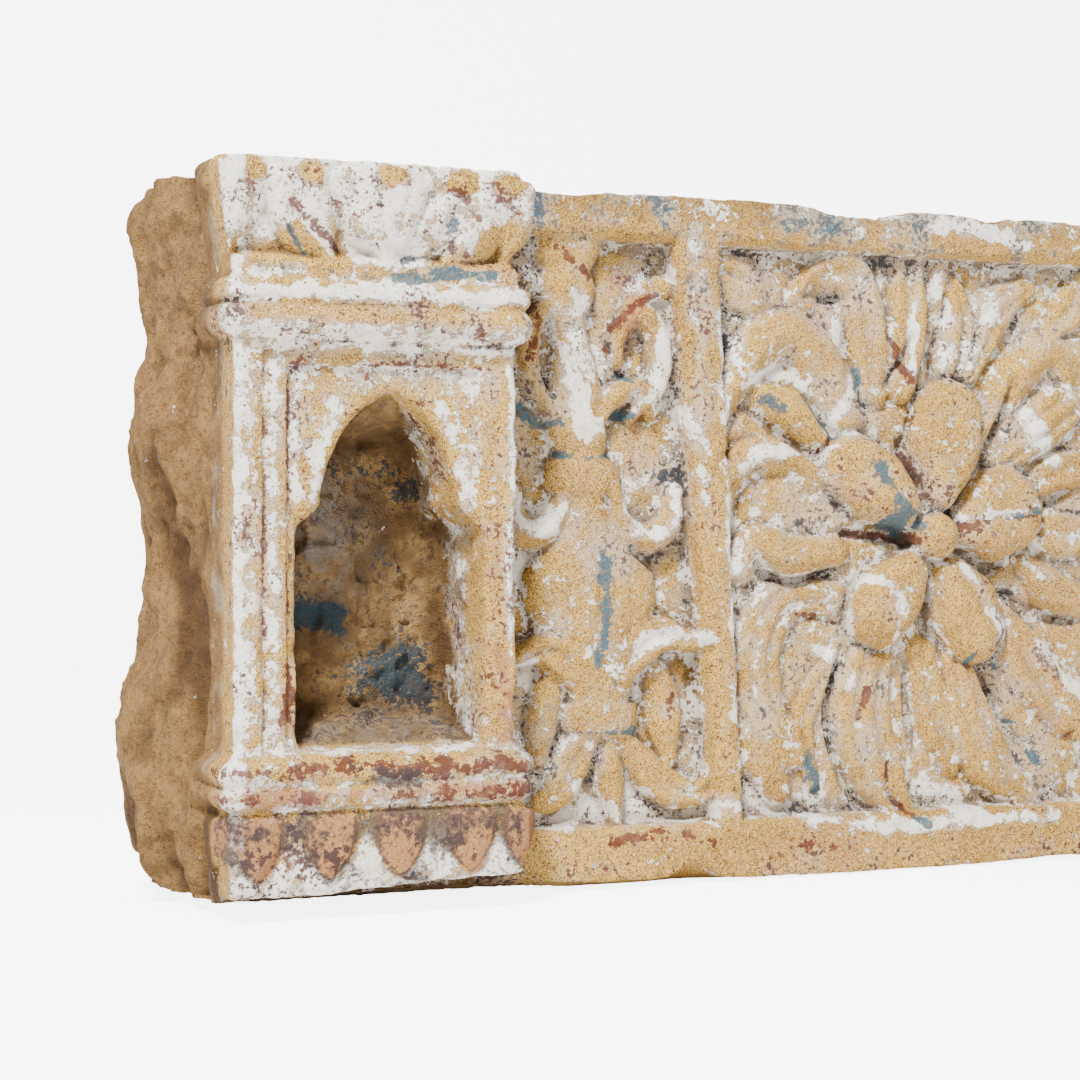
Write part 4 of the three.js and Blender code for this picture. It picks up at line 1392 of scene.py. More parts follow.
@dataclass(frozen=True)
class Value:
    """A number on a node link, with ordinary arithmetic."""

    graph: Graph
    socket: bpy.types.NodeSocket

    def __add__(self, other: object) -> "Value":
        """Adds the other to this number."""
        return self.graph.math("ADD", self, other)

    def __radd__(self, other: object) -> "Value":
        """Adds this number to the other."""
        return self.graph.math("ADD", other, self)

    def __sub__(self, other: object) -> "Value":
        """Takes the other from this number."""
        return self.graph.math("SUBTRACT", self, other)

    def __rsub__(self, other: object) -> "Value":
        """Takes this number from the other."""
        return self.graph.math("SUBTRACT", other, self)

    def __mul__(self, other: object) -> "Value":
        """Multiplies this number by the other."""
        return self.graph.math("MULTIPLY", self, other)

    def __rmul__(self, other: object) -> "Value":
        """Multiplies the other by this number."""
        return self.graph.math("MULTIPLY", other, self)

    def clamped(self) -> "Value":
        """Keeps the number between 0 and 1.

        Returns:
            The kept number.
        """
        return self.graph.math("ADD", self, 0.0, clamp=True)


def modifier_tree(name: str, inputs: dict[str, str]) -> Graph:
    """Starts a Geometry Nodes tree.

    Args:
        name: Its name.
        inputs: Socket type by input name.

    Returns:
        The graph.
    """
    tree = bpy.data.node_groups.new(name, "GeometryNodeTree")
    tree.interface.new_socket("Geometry", in_out="INPUT", socket_type="NodeSocketGeometry")
    for label, kind in inputs.items():
        tree.interface.new_socket(label, in_out="INPUT", socket_type=kind)
    tree.interface.new_socket("Geometry", in_out="OUTPUT", socket_type="NodeSocketGeometry")
    return Graph(tree)


def finish_tree(graph: Graph, shape: bpy.types.NodeSocket, material: bpy.types.NodeSocket) -> None:
    """Ends a Geometry Nodes tree with real geometry and its material.

    Args:
        graph: The graph.
        shape: The geometry so far.
        material: The material input.
    """
    real = graph.node("GeometryNodeRealizeInstances", Geometry=shape)
    dressed = graph.node("GeometryNodeSetMaterial", Geometry=real.outputs[0], Material=material)
    graph.node("NodeGroupOutput", in0=dressed.outputs[0])


def run_tree(item: bpy.types.Object, graph: Graph, values: dict[str, object]) -> Shape:
    """Runs a Geometry Nodes tree on an object and takes the result.

    Args:
        item: The object, which is used up.
        graph: The tree's graph.
        values: Value by input name.

    Returns:
        The places and faces made.
    """
    made = item.modifiers.new("form", "NODES")
    made.node_group = graph.tree
    for socket in graph.tree.interface.items_tree:
        if socket.in_out == "INPUT" and socket.name in values:
            made[socket.identifier] = values[socket.name]
    return taken(item)


@dataclass(frozen=True)
class RollMouldings:
    """The three rolls that follow the pier's plan, made with Geometry Nodes."""

    rolls: tuple[tuple[float, float, float], ...] = ((54.5, 6.5, 8.0), (68.0, 6.9, 8.6), (312.8, 10.0, 9.0))
    returns_to: float = 76.0
    corner: float = 4.0
    sides: int = 28

    def graph(self) -> Graph:
        """Writes the tree that sweeps a round section along a line.

        Returns:
            The graph.
        """
        graph = modifier_tree(
            "roll_moulding",
            {"Radius": "NodeSocketFloat", "Sides": "NodeSocketInt", "Material": "NodeSocketMaterial"},
        )
        given = graph.node("NodeGroupInput").outputs
        line = graph.node("GeometryNodeMeshToCurve", Mesh=given["Geometry"])
        ring = graph.node(
            "GeometryNodeCurvePrimitiveCircle", Resolution=given["Sides"], Radius=given["Radius"]
        )
        swept = graph.node(
            "GeometryNodeCurveToMesh", in0=line.outputs[0], in1=ring.outputs[0], Fill_Caps=True
        )
        finish_tree(graph, swept.outputs[0], given["Material"])
        return graph

    def plan(self, height: float, offset: float) -> np.ndarray:
        """The line that a roll follows round the pier.

        Args:
            height: The roll's height.
            offset: How far the line stands out from the jamb.

        Returns:
            The line's points.
        """
        face, right, c = PIER_FACE - offset, PIER_WIDTH + offset, self.corner
        turns = np.radians(np.linspace(0, 90, 7))
        left_turn = [(-offset + c * (1 - math.cos(a)), face + c * (1 - math.sin(a))) for a in turns]
        right_turn = [(right - c * (1 - math.sin(a)), face + c * (1 - math.cos(a))) for a in turns]
        run = [(x, face) for x in np.linspace(-offset + c, right - c, 24)[1:-1]]
        first = [(-offset, self.returns_to), (-offset, 30.0)]
        last = [(right, 30.0), (right, WALL_FACE + 6)]
        return np.array([(x, y, height) for x, y in (*first, *left_turn, *run, *right_turn, *last)])

    def build(self, site: Site, material: bpy.types.Material) -> list[Shape]:
        """Sweeps the rolls.

        Args:
            site: The stone's frame.
            material: The stone's material.

        Returns:
            Places and faces of each roll.
        """
        graph = self.graph()
        made = []
        for height, radius, reach in self.rolls:
            line = site.outward(self.plan(height, reach - radius))
            host = mesh_object("roll_line", line, [], [(i, i + 1) for i in range(len(line) - 1)])
            values = {"Radius": radius * MILLIMETRE, "Sides": self.sides, "Material": material}
            made.append(run_tree(host, graph, values))
        return made


@dataclass(frozen=True)
class RowOfForms:
    """One small form repeated at places along a line, made with Geometry Nodes."""

    name: str
    places: tuple[tuple[float, float, float, float, float], ...]

    def graph(self) -> Graph:
        """Writes the tree that sets a form on points.

        Returns:
            The graph.
        """
        graph = modifier_tree(self.name, {"Form": "NodeSocketObject", "Material": "NodeSocketMaterial"})
        given = graph.node("NodeGroupInput").outputs
        form = graph.node("GeometryNodeObjectInfo", Object=given["Form"])
        turn = graph.node("GeometryNodeInputNamedAttribute", {"data_type": "FLOAT_VECTOR"}, Name="turn")
        size = graph.node("GeometryNodeInputNamedAttribute", {"data_type": "FLOAT_VECTOR"}, Name="size")
        set_out = graph.node(
            "GeometryNodeInstanceOnPoints",
            Points=given["Geometry"],
            Instance=form.outputs["Geometry"],
            Rotation=turn.outputs[0],
            Scale=size.outputs[0],
        )
        finish_tree(graph, set_out.outputs[0], given["Material"])
        return graph

    def build(
        self, site: Site, form: bpy.types.Object, material: bpy.types.Material
    ) -> Shape:
        """Sets the forms out.

        Args:
            site: The stone's frame.
            form: The object that is repeated, which is used up.
            material: The stone's material.

        Returns:
            Places and faces.
        """
        rows = np.array(self.places, float)
        host = mesh_object(self.name, site.outward(rows[:, :3]), [])
        for label, values in (
            ("turn", [(0.0, 0.0, math.radians(a)) for a in rows[:, 3]]),
            ("size", [(s, 1.0, s) for s in rows[:, 4]]),
        ):
            attribute = host.data.attributes.new(label, "FLOAT_VECTOR", "POINT")
            attribute.data.foreach_set("vector", np.array(values, np.float32).ravel())
        made = run_tree(host, self.graph(), {"Form": form, "Material": material})
        bpy.data.objects.remove(form)
        return made


def rings_mesh(name: str, rings: list[np.ndarray]) -> bpy.types.Object:
    """Skins a row of rings into a closed form.

    Args:
        name: The object's name.
        rings: Places of each ring, in metres.

    Returns:
        The object.
    """
    count = len(rings[0])
    faces = []
    for r in range(len(rings) - 1):
        for i in range(count):
            j = (i + 1) % count
            faces.append((r * count + i, r * count + j, (r + 1) * count + j, (r + 1) * count + i))
    faces.append(tuple(range(count - 1, -1, -1)))
    faces.append(tuple(range((len(rings) - 1) * count, len(rings) * count)))
    return mesh_object(name, np.vstack(rings), faces)


@dataclass(frozen=True)
class Pendants:
    """The row of pointed drops along the plinth."""

    row: RowOfForms = RowOfForms(
        "pendant_row",
        (
            (10.0, 6.4, 43.0, 0.0, 0.9),
            (52.0, 6.2, 43.0, 0.0, 1.0),
            (92.5, 6.0, 43.0, 0.0, 1.0),
            (134.0, 6.2, 43.0, 0.0, 1.0),
            (164.5, 8.4, 43.0, 26.0, 0.8),
            (-3.6, 34.0, 43.0, -90.0, 0.9),
        ),
    )
    relief: float = 4.0

    def form(self) -> bpy.types.Object:
        """Models one drop, hanging from its origin and facing -Y.

        Returns:
            The drop.
        """
        share = np.linspace(0, 1, 15)
        half = drop_half_width(share)
        right = np.stack([half, -share * DROP_HEIGHT], axis=1)
        outline = np.vstack([right, right[-2:0:-1] * (-1, 1), [[-half[0], 0.0]]])
        centre = np.array([0.0, -0.4 * DROP_HEIGHT])
        rings = []
        for scale, out in ((1.0, -4.0), (1.0, 0.45), (0.9, 0.8), (0.6, 1.0), (0.25, 1.05)):
            flat = centre + (outline - centre) * scale
            depth = np.full(len(flat), 4.0 if out < 0 else -out * self.relief)
            rings.append(np.stack([flat[:, 0], depth, flat[:, 1]], axis=1) * MILLIMETRE)
        return rings_mesh("pendant", rings)

    def build(self, site: Site, material: bpy.types.Material) -> Shape:
        """Hangs the drops in their row.

        Args:
            site: The stone's frame.
            material: The stone's material.

        Returns:
            Places and faces.
        """
        return self.row.build(site, self.form(), material)


@dataclass(frozen=True)
class RimLobes:
    """The round lobes under the capital's top edge."""

    row: RowOfForms = RowOfForms(
        "rim_lobes",
        (
            (6.0, 4.6, 390.0, -8.0, 1.0),
            (39.0, 4.4, 390.5, 0.0, 1.0),
            (62.0, 5.0, 391.0, 0.0, 0.7),
            (86.0, 4.2, 390.0, 0.0, 1.1),
            (110.0, 5.0, 391.0, 0.0, 0.7),
            (129.0, 4.4, 390.0, 0.0, 0.95),
            (156.0, 4.6, 389.0, 8.0, 0.85),
            (-9.5, 30.0, 387.0, -90.0, 1.0),
        ),
    )
    half_width: float = 11.5
    half_height: float = 8.0
    half_depth: float = 5.0

    def form(self) -> bpy.types.Object:
        """Models one lobe about its origin.

        Returns:
            The lobe.
        """
        turns = np.linspace(0, 2 * math.pi, 20, endpoint=False)
        rings = []
        for lean in np.linspace(-80, 80, 9):
            out, deep = math.cos(math.radians(lean)), math.sin(math.radians(lean))
            wide, high = self.half_width * out, self.half_height * out
            ring = [(wide * math.cos(t), self.half_depth * deep, high * math.sin(t)) for t in turns]
            rings.append(np.array(ring) * MILLIMETRE)
        return rings_mesh("lobe", rings)

    def build(self, site: Site, material: bpy.types.Material) -> Shape:
        """Sets the lobes along the rim.

        Args:
            site: The stone's frame.
            material: The stone's material.

        Returns:
            Places and faces.
        """
        return self.row.build(site, self.form(), material)


@dataclass(frozen=True)
class PaintedSandstone:
    """Yellow sandstone with red underpaint, flaking limewash, blue and pink over it, dirt, and painted
    shade.
    """

    stone_light: Colour = (0.62, 0.345, 0.065, 1.0)
    stone_deep: Colour = (0.40, 0.200, 0.033, 1.0)
    hewn: Colour = (0.070, 0.034, 0.012, 1.0)
    hewn_light: Colour = (0.255, 0.138, 0.048, 1.0)
    pale: Colour = (0.84, 0.60, 0.21, 1.0)
    rosy: Colour = (0.56, 0.30, 0.11, 1.0)
    lime: Colour = (0.93, 0.88, 0.79, 1.0)
    lime_dull: Colour = (0.64, 0.57, 0.48, 1.0)
    red: Colour = (0.105, 0.020, 0.013, 1.0)
    pink: Colour = (0.37, 0.155, 0.080, 1.0)
    blue: Colour = (0.034, 0.105, 0.150, 1.0)
    blue_shaded: Colour = (0.010, 0.026, 0.038, 1.0)
    dirt_and_shade: Colour = (0.050, 0.040, 0.040, 1.0)
    niche: Colour = (0.13, 0.072, 0.026, 1.0)
    niche_light: Colour = (0.30, 0.180, 0.062, 1.0)
    grey: Colour = (0.18, 0.15, 0.12, 1.0)
    shadow_tint: Colour = (0.30, 0.22, 0.15, 1.0)
    flake_scale: float = 96.0
    grain_scale: float = 1250.0
    crack_scale: float = 150.0
    roughness: float = 0.92
    gloss: float = 0.25
    bump: float = 0.0018

    def build(self) -> bpy.types.Material:
        """Writes the node material.

        Returns:
            The material.
        """
        material = bpy.data.materials.new("painted_sandstone")
        material.use_nodes = True
        material.node_tree.nodes.clear()
        graph = Graph(material.node_tree)
        place = graph.node("ShaderNodeTexCoord").outputs["Object"]

        def noise(scale: float, detail: float = 4.0, rough_share: float = 0.55, lift: float = 0.0) -> Value:
            """Adds a noise.

            Args:
                scale: Humps in a metre.
                detail: How many finer layers.
                rough_share: How strong they are.
                lift: Moves the pattern.

            Returns:
                The noise, 0 to 1.
            """
            shift = (lift, lift, lift)
            moved = graph.node("ShaderNodeVectorMath", {"operation": "ADD"}, in0=place, in1=shift)
            made = graph.node(
                "ShaderNodeTexNoise",
                Vector=moved.outputs[0],
                Scale=scale,
                Detail=detail,
                Roughness=rough_share,
            )
            return Value(graph, made.outputs[0])

        def held(name: str) -> Value:
            """Reads what the mesh keeps at each point.

            Args:
                name: The attribute's name.

            Returns:
                Its value.
            """
            return Value(graph, graph.node("ShaderNodeAttribute", {"attribute_name": name}).outputs["Fac"])

        broad, flake = noise(14.0, 1.0), noise(self.flake_scale, 5.0, 0.66)
        patch, fleck = noise(34.0, 5.0, 0.62, 3.1), noise(310.0, 3.0, 0.66, 5.2)
        grain = noise(self.grain_scale, 1.0, 0.7, 7.3)
        tint = noise(90.0, 3.0, 0.6, 9.4)

        tone = graph.step(broad * 0.5 + tint * 0.5, 0.34, 0.66)
        stone = graph.blend(tone, self.stone_light, self.stone_deep)
        stone = graph.blend(graph.step(noise(9.0, 2.0, 0.6, 13.7), 0.48, 0.62) * 0.4, stone, self.rosy)
        sand = noise(820.0, 1.0, 0.8, 11.2)
        stone = graph.blend(graph.step(sand, 0.52, 0.59) * 0.8, stone, self.hewn)
        stone = graph.blend(graph.step(grain, 0.53, 0.59) * 0.7, stone, self.pale)
        stone = graph.blend(graph.step(fleck, 0.54, 0.66) * 0.42, stone, self.hewn)
        side_tone = graph.step(noise(58.0, 5.0, 0.75, 17.0), 0.26, 0.66)
        side = graph.blend(side_tone, self.hewn, self.hewn_light)
        side = graph.blend(graph.step(fleck, 0.50, 0.62) * 0.7, side, self.hewn)
        side = graph.blend(graph.step(grain, 0.50, 0.64) * 0.5, side, self.hewn_light)
        stone = graph.blend(held("hewn") * 0.92, stone, side)
        # Painted shade: recesses, and the hollows of the broken side, are mixed toward the dark hewn brown.
        stone = graph.blend(graph.step(held("recess"), 0.05, 0.9) * 0.6, stone, self.hewn)
        inside = graph.blend(graph.step(patch, 0.42, 0.62), self.niche, self.niche_light)
        inside = graph.blend(held("grey") * graph.step(flake, 0.32, 0.6), inside, self.grey)
        stone = graph.blend(held("niche"), stone, inside)

        def cover(amount: Value, pattern: Value, spread: float, soft: float) -> Value:
            """Turns how much is left of a coat into where it is left.

            Args:
                amount: How much is left, 0 to 1.
                pattern: The noise that it breaks along.
                spread: How strongly the noise counts.
                soft: Width of the edge.

            Returns:
                The coat's mask.
            """
            left = amount + (pattern - 0.5) * spread
            return graph.step(left, 0.5 - soft, 0.5 + soft)

        lime_left = held("lime")
        broken = flake * 0.62 + fleck * 0.38
        worn_edge = cover(lime_left + 0.05, broken, 3.2, 0.08) - cover(lime_left - 0.02, broken, 3.2, 0.03)
        red_mask = cover(held("red"), patch * 0.5 + fleck * 0.5, 3.0, 0.06)
        lime_mask = cover(lime_left, broken, 3.2, 0.05)
        thin = cover(lime_left + 0.1, patch, 2.4, 0.25) * graph.step(held("lime"), 0.03, 0.2)
        pink_mask = cover(held("pink"), broken, 2.2, 0.16)
        blue_mask = cover(held("blue"), patch * 0.5 + fleck * 0.5, 2.8, 0.10)
        grime_and_shade_mask = cover(held("grime_and_shade"), patch * 0.5 + fleck * 0.5, 2.8, 0.14)

        colour = graph.blend(thin * 0.42, stone, self.lime_dull)
        colour = graph.blend(worn_edge.clamped() * graph.step(patch, 0.45, 0.6) * 0.8, colour, self.red)
        lime = graph.blend(graph.step(tint, 0.42, 0.68) * 0.6, self.lime, self.lime_dull)
        lime = graph.blend(graph.step(fleck, 0.57, 0.68) * 0.5, lime, self.stone_deep)
        # Painted shadow: a thin dark band along the edges of the limewash flakes.
        rim = lime_mask * (1.0 - lime_mask) * 3.2
        colour = graph.blend(lime_mask * 0.94, colour, lime)
        colour = graph.blend(rim.clamped() * 0.55, colour, self.hewn)
        colour = graph.blend(pink_mask * 0.7, colour, self.pink)
        red_tone = graph.blend(graph.step(tint, 0.45, 0.7) * 0.35, self.red, self.pink)
        colour = graph.blend(red_mask * 0.9, colour, red_tone)
        blue_tone = graph.blend(graph.step(fleck, 0.50, 0.66) * 0.45, self.blue, self.stone_deep)
        # Painted shade: inside the niche the blue is mixed toward a darkened copy of itself.
        blue_tone = graph.blend(held("niche") * 0.75, blue_tone, self.blue_shaded)
        colour = graph.blend(blue_mask * 0.92, colour, blue_tone)
        # Darkens where the grime coat lies: dirt, and painted shade under the cap roll and round the drops.
        colour = graph.blend(grime_and_shade_mask * 0.8, colour, self.dirt_and_shade)
        cells = graph.node(
            "ShaderNodeTexVoronoi", {"feature": "DISTANCE_TO_EDGE"}, Vector=place, Scale=self.crack_scale
        )
        split = 1.0 - graph.step(Value(graph, cells.outputs[0]), 0.0, 0.035)
        crack = split * lime_mask * graph.step(patch, 0.46, 0.56)
        colour = graph.blend(crack * 0.5, colour, self.hewn)
        shadowed = graph.step(held("recess"), 0.25, 1.0) * 0.55
        colour = graph.blend(shadowed, colour, self.shadow_tint, "MULTIPLY")

        crusted = sand * 0.85 + grain * 0.30 + fleck * 0.8 + flake * 0.8
        height = crusted * (1.0 - lime_mask * 0.35) + lime_mask * 0.75
        bump = graph.node("ShaderNodeBump", Strength=1.0, Distance=self.bump, Height=height)
        shine = graph.math("SUBTRACT", self.roughness, blue_mask * 0.08)
        surface = graph.node(
            "ShaderNodeBsdfPrincipled",
            Base_Color=colour,
            Roughness=shine,
            Normal=bump.outputs[0],
        )
        surface.inputs["Specular IOR Level"].default_value = self.gloss
        graph.node("ShaderNodeOutputMaterial", Surface=surface.outputs[0])
        return material


@dataclass
class CarvedPanel:
    """The whole stone: one piece that stands for the CAD solid."""

    site: Site
    finish: PaintedSandstone = PaintedSandstone()
    voxel: float = 1.5
    foot_lift: float = 7.0
    coarse_voxel: float = 3.0
    clearance: float = 0.25
    grain_relief: float = 0.6
    pit_depth: float = 1.2
    niche_facets: float = 4.0
    side_paint: float = 0.35
    back_start: float = 95.0
    triangle_limit: int = 192000
    face: Face = field(init=False)

    def carve(self) -> None:
        """Carves the front and lays its paint."""
        self.face = Face(1.0)
        for part in (Bands(), Baluster(), Wreath(), Rosette(), Pier()):
            part.build(self.face)
            log.info("carved %s", type(part).__name__)
        self.face.wear_edges()
        Wear().dress(self.face)

    def build(self) -> bpy.types.Object:
        """Makes the stone.

        Returns:
            The finished piece.
        """
        self.carve()
        material = self.finish.build()
        block, faces = HewnBlock().build(self.face)
        parts = [(self.site.outward(block), faces)]
        parts += RollMouldings().build(self.site, material)
        parts.append(Pendants().build(self.site, material))
        parts.append(RimLobes().build(self.site, material))
        points, joined = self.join(parts)
        log.info("joined %d points", len(points))
        points, faces = self.remesh(points, joined)
        log.info("remeshed to %d points", len(points))
        local = self.sculpt(self.site.inward(points), faces)
        piece = self.thin(self.site.outward(local), faces)
        self.dress(piece, material)
        return piece

    @staticmethod
    def join(parts: list[Shape]) -> Shape:
        """Puts several meshes into one.

        Args:
            parts: Places and faces of each.

        Returns:
            Places and faces of the whole.
        """
        points, faces, start = [], [], 0
        for places, corners in parts:
            points.append(places)
            faces += [tuple(c + start for c in face) for face in corners]
            start += len(places)
        return np.vstack(points), faces

    def remesh(self, points: np.ndarray, faces: Faces) -> Shape:
        """Melts the parts into one skin.

        Args:
            points: Places in metres.
            faces: Corner numbers.

        Returns:
            Places and faces of the skin.
        """
        rough_form = mesh_object("rough_form", points, faces)
        change = rough_form.modifiers.new("skin", "REMESH")
        change.mode = "VOXEL"
        change.voxel_size = self.voxel * MILLIMETRE
        return taken(rough_form)

    def sculpt(self, local: np.ndarray, faces: Faces) -> np.ndarray:
        """Roughens the skin: strongly where the stone is hewn, lightly where it is carved.

        Args:
            local: Places in the stone's millimetres.
            faces: Corner numbers.

        Returns:
            The moved places.
        """
        quads = np.array(faces)
        across = local[quads[:, 2]] - local[quads[:, 0]]
        other = local[quads[:, 3]] - local[quads[:, 1]]
        flat = np.cross(across, other)
        normal = np.zeros_like(local)
        for corner in range(4):
            np.add.at(normal, quads[:, corner], flat)
        normal /= np.maximum(np.linalg.norm(normal, axis=1, keepdims=True), 1e-9)
        x, y, z = local.T
        at_back = ease(150, 172, y)
        cut_end = ease(WALL_LENGTH - 4, WALL_LENGTH, x)
        broken_left = (1 - ease(4, 30, x)) * ease(50, 66, y)
        top_bed = ease(TOP - 14, TOP - 6, z) * ease(52, 62, y)
        foot = 1 - ease(-12, -8, z)
        hewn = np.maximum(broken_left, 0.6 * top_bed) * (1 - cut_end) * (1 - at_back)
        inset = niche_inset(x, z)
        in_niche = ease(0, 5, inset) * ease(20, 28, y) * self.ahead_of_back(y)
        big = rough(local, 22.0, 31, 3)
        pits = np.clip(rough(local, 4.2, 41, 2) - 0.35, 0, 1)
        small = rough(local, 5.5, 43, 2)
        move = np.zeros(len(local))
        broken = hewn > 0.02
        there = local[broken]
        shape = hewn_relief(there) + 1.2 * fracture(there, 15.0, 61)
        move[broken] = hewn[broken] * (shape + 1.6 * big[broken] + 0.8 * small[broken])
        rocky = in_niche > 0.02
        inner = local[rocky]
        facets = self.niche_facets * fracture(inner, 24.0, 61) + 1.4 * fracture(inner, 8.0, 67)
        move[rocky] += in_niche[rocky] * facets
        carved = self.grain_relief * rough(local, 15.0, 47, 2) + 0.45 * small - self.pit_depth * pits
        move += (1 - hewn) * carved
        move += in_niche * (1.2 * big + 0.6 * small)
        move *= 1 - np.maximum(0.9 * at_back, np.maximum(0.9 * cut_end, 0.8 * foot * (1 - hewn)))
        moved = local + normal * move[:, None]
        inward = np.minimum(x, y - WALL_FACE)
        lift = self.foot_lift * (1 - ease(8, 45, inward)) * (1 - ease(PIER_WIDTH, 240, x))
        moved[:, 2] = np.maximum(moved[:, 2], lift - BED + 1.2 * small)
        low, high = (self.site.inward(np.array(corner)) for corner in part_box(NODE))
        return np.clip(moved, low + self.clearance, high - self.clearance)

    def ahead_of_back(self, y: np.ndarray) -> np.ndarray:
        """Tells the niche's own depth from the stone behind it.

        Args:
            y: Depths.

        Returns:
            1 in the niche's depth, falling to 0 behind it.
        """
        return 1 - ease(self.back_start, self.back_start + 15, y)

    def thin(self, points: np.ndarray, faces: Faces) -> bpy.types.Object:
        """Brings the skin under the triangle limit.

        Args:
            points: Places in metres.
            faces: Corner numbers.

        Returns:
            The piece.
        """
        skin = mesh_object("skin", points, faces)
        triangles = 2 * len(faces)
        change = skin.modifiers.new("thin", "DECIMATE")
        change.ratio = min(1.0, self.triangle_limit / triangles)
        places, corners = taken(skin)
        piece = mesh_object(PIECE, places, corners)
        piece.data.polygons.foreach_set("use_smooth", np.ones(len(corners), bool))
        return piece

    def dress(self, piece: bpy.types.Object, material: bpy.types.Material) -> None:
        """Gives the piece its paint, hangs it under the root body and hides the CAD solid that it stands
        for.

        Args:
            piece: The piece.
            material: Its material.
        """
        mesh = piece.data
        world = np.zeros(3 * len(mesh.vertices))
        mesh.vertices.foreach_get("co", world)
        local = self.site.inward(world.reshape(-1, 3))
        x, y, z = local.T
        face = self.face
        behind = y - face.sample(blurred(face.depth, 1.2 / face.step), x, z)
        front = (1 - ease(14, 26, behind)) * (1 - ease(74, 90, y))
        inset = niche_inset(x, z)
        in_niche = ease(1, 4, inset) * ease(17, 24, y) * self.ahead_of_back(y)
        cells = 1.0 / face.step
        hollow = face.depth - blurred(face.depth, 3.5 * cells)
        wide = face.depth - blurred(face.depth, 13.0 * cells)
        recess = np.clip(0.22 * hollow + 0.06 * wide, -1, 1)
        held = {kind.value: face.sample(grid, x, z) * front for kind, grid in face.paint.items()}
        held["recess"] = face.sample(recess, x, z) * front
        on_return = (1 - ease(-1, 5, x)) * (1 - ease(46, 58, y))
        arris = 1 - ease(1.5, 5.0, y - (PIER_FACE - pier_reach(z)))
        held["lime"] = np.where(on_return > 0.3, 0.16 + 0.55 * arris, held["lime"])
        rolls = bell(z, 62, 12) + bell(z, 313, 12)
        held["pink"] = np.maximum(held["pink"], on_return * self.side_paint * rolls)
        for coat in ("lime", "red", "pink"):
            held[coat] = held[coat] * (1 - in_niche)
        aside = x + 14.0 * rough(local, 20.0, 71, 2)
        above = z + 14.0 * rough(local, 24.0, 73, 2)
        blue_belt = 1.0 * bell(above, 149, 14) * (1 - ease(80, 98, aside))
        blue_belt += 0.78 * bell(above, 114, 26) * bell(aside, 114, 36)
        blue_belt += 0.5 * bell(aside, 106, 10) * bell(above, 186, 24) + 0.35 * bell(above, 226, 24)
        blue_belt += 0.7 * bell(x, 40, 5) * bell(z, 118, 6)
        held["blue"] = np.where(in_niche > 0.5, np.clip(blue_belt, 0, 1), held["blue"])
        held["niche"] = in_niche
        lump = np.exp(-(((x - 66) / 28) ** 2 + ((z - 200) / 38) ** 2))
        held["grey"] = in_niche * np.clip(1.2 * lump + 0.5 * (1 - ease(92, 104, above)), 0, 1)
        held["grime_and_shade"] = np.where(in_niche > 0.5, 0.32 + 0.1 * (1 - ease(94, 108, above)), held["grime_and_shade"])
        upper_edge = 0.55 * ease(376, 396, z + 5.0 * rough(local, 14.0, 79, 2)) * (x > PIER_WIDTH)
        held["hewn"] = np.clip(1 - front + upper_edge, 0, 1)
        # Painted shade: the broken side's hollows are kept as recess, which the material darkens.
        side_hollow_shade = np.clip(0.12 - 0.13 * hewn_relief(local), 0, 1.0)
        held["recess"] = np.where(front < 0.5, side_hollow_shade * (1 - ease(150, 165, y)), held["recess"])
        for name, values in held.items():
            kept = mesh.attributes.new(name, "FLOAT", "POINT")
            kept.data.foreach_set("value", values.astype(np.float32))
        mesh.materials.clear()
        mesh.materials.append(material)
        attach(piece, "root")
        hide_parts(NODE)


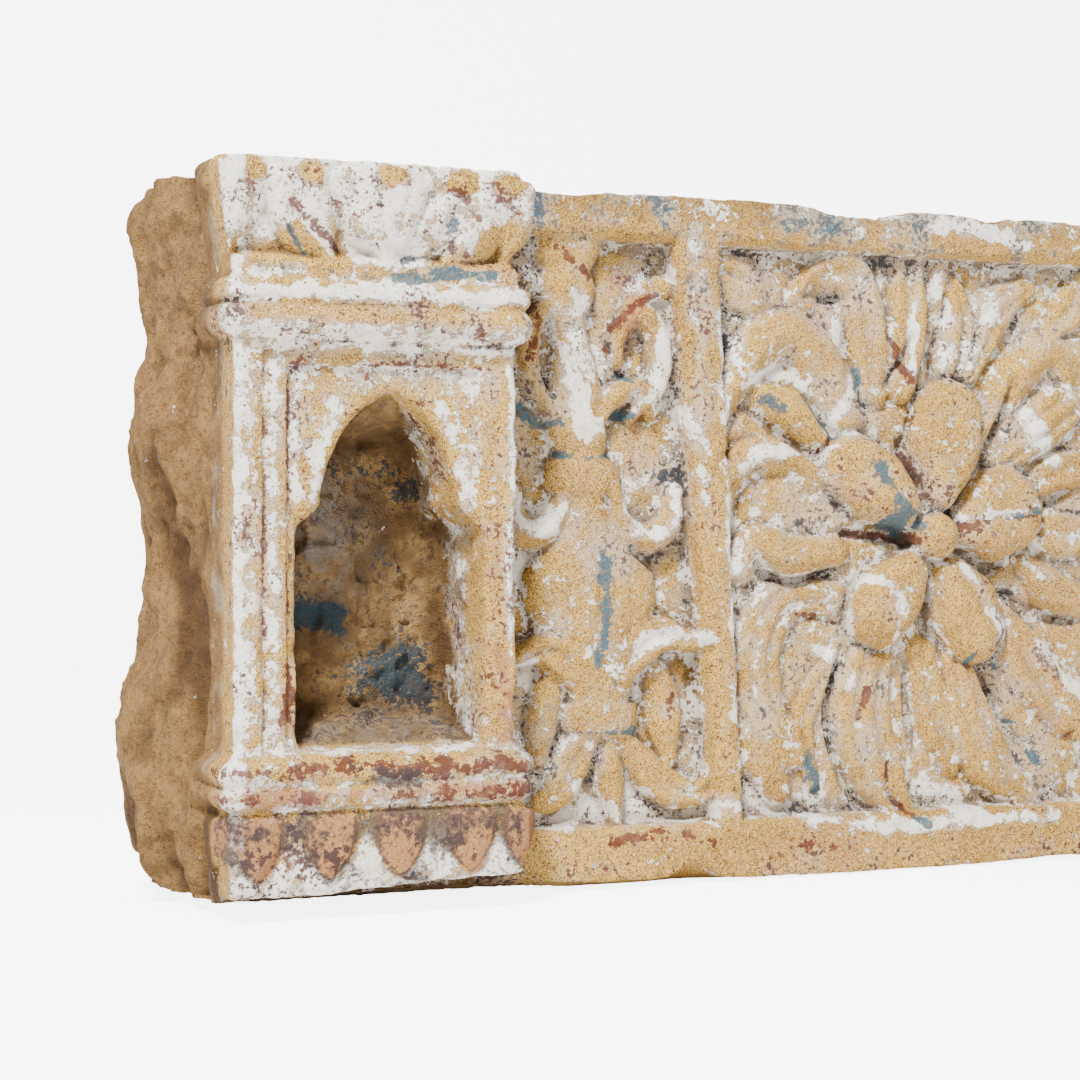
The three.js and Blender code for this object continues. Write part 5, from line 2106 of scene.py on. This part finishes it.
@dataclass(frozen=True)
class Studio:
    """Camera, soft light and a plain pale floor."""

    place: tuple[float, float, float] = (-0.6760, -1.3108, 0.2064)
    turn: float = -24.0
    lens: float = 80.0
    sensor: float = 36.0
    floor_size: float = 6.0
    aim: tuple[float, float, float] = (-0.1, 0.0, 0.2)
    sky: float = 0.3
    glow: float = 5.5
    lamps: tuple[tuple[str, tuple[float, float, float], float, float], ...] = (
        ("key", (-1.3, -1.5, 2.5), 0.45, 262.0),
        ("fill", (1.9, -2.0, 1.2), 1.8, 9.0),
        ("high", (0.3, 0.3, 2.6), 1.2, 24.0),
    )

    def build(self) -> None:
        """Sets the camera, lights, sky and floor."""
        scene = bpy.context.scene
        camera = bpy.data.objects.new("camera", bpy.data.cameras.new("camera"))
        camera.location = self.place
        camera.rotation_euler = (math.radians(90), 0.0, math.radians(self.turn))
        camera.data.lens = self.lens
        camera.data.sensor_width = self.sensor
        scene.collection.objects.link(camera)
        scene.camera = camera
        for lamp in self.lamps:
            self.light(*lamp)
        world = bpy.data.worlds.new("sky")
        world.use_nodes = True
        sky = world.node_tree.nodes["Background"]
        sky.inputs["Color"].default_value = (1.0, 1.0, 1.0, 1.0)
        sky.inputs["Strength"].default_value = self.sky
        scene.world = world
        self.floor()

    def light(self, name: str, place: tuple[float, float, float], size: float, power: float) -> None:
        """Adds an area light that looks at the stone.

        Args:
            name: Its name.
            place: Where it hangs.
            size: Its width.
            power: Its strength in watts.
        """
        lamp = bpy.data.lights.new(name, "AREA")
        lamp.size = size
        lamp.energy = power
        item = bpy.data.objects.new(name, lamp)
        item.location = place
        way = Vector(self.aim) - Vector(place)
        item.rotation_euler = way.to_track_quat("-Z", "Y").to_euler()
        bpy.context.scene.collection.objects.link(item)

    def floor(self) -> None:
        """Lays a floor that curves up into a backdrop."""
        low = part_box(NODE)[0].z
        bend = [(math.sin(a), 1 - math.cos(a)) for a in np.radians(np.linspace(0, 90, 14))]
        profile = [(-self.floor_size, 0.0), *[(2.2 + 0.8 * s, 0.8 * c) for s, c in bend], (3.0, 4.0)]
        points = [(side * self.floor_size, y, low + z) for y, z in profile for side in (-1, 1)]
        faces = [(2 * i, 2 * i + 1, 2 * i + 3, 2 * i + 2) for i in range(len(profile) - 1)]
        floor = mesh_object("floor", np.array(points), faces)
        floor.data.polygons.foreach_set("use_smooth", np.ones(len(faces), bool))
        paper = bpy.data.materials.new("pale_paper")
        paper.use_nodes = True
        graph = Graph(paper.node_tree)
        shade = paper.node_tree.nodes["Principled BSDF"]
        shade.inputs["Base Color"].default_value = (0.93, 0.93, 0.93, 1.0)
        shade.inputs["Roughness"].default_value = 0.9
        seen = graph.node("ShaderNodeLightPath").outputs["Is Camera Ray"]
        glow = graph.blend(seen, (0.05, 0.05, 0.05, 1.0), (1.0, 1.0, 1.0, 1.0))
        graph.feed(shade.inputs["Emission Color"], glow)
        shade.inputs["Emission Strength"].default_value = self.glow
        floor.data.materials.append(paper)


def main() -> None:
    """Builds the stone and the studio."""
    logging.basicConfig(level=logging.INFO, format="%(message)s")
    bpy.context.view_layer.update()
    piece = CarvedPanel(Site.of_node(NODE)).build()
    log.info("%s: %d faces", piece.name, len(piece.data.polygons))
    Studio().build()


if __name__ == "__main__":
    main()
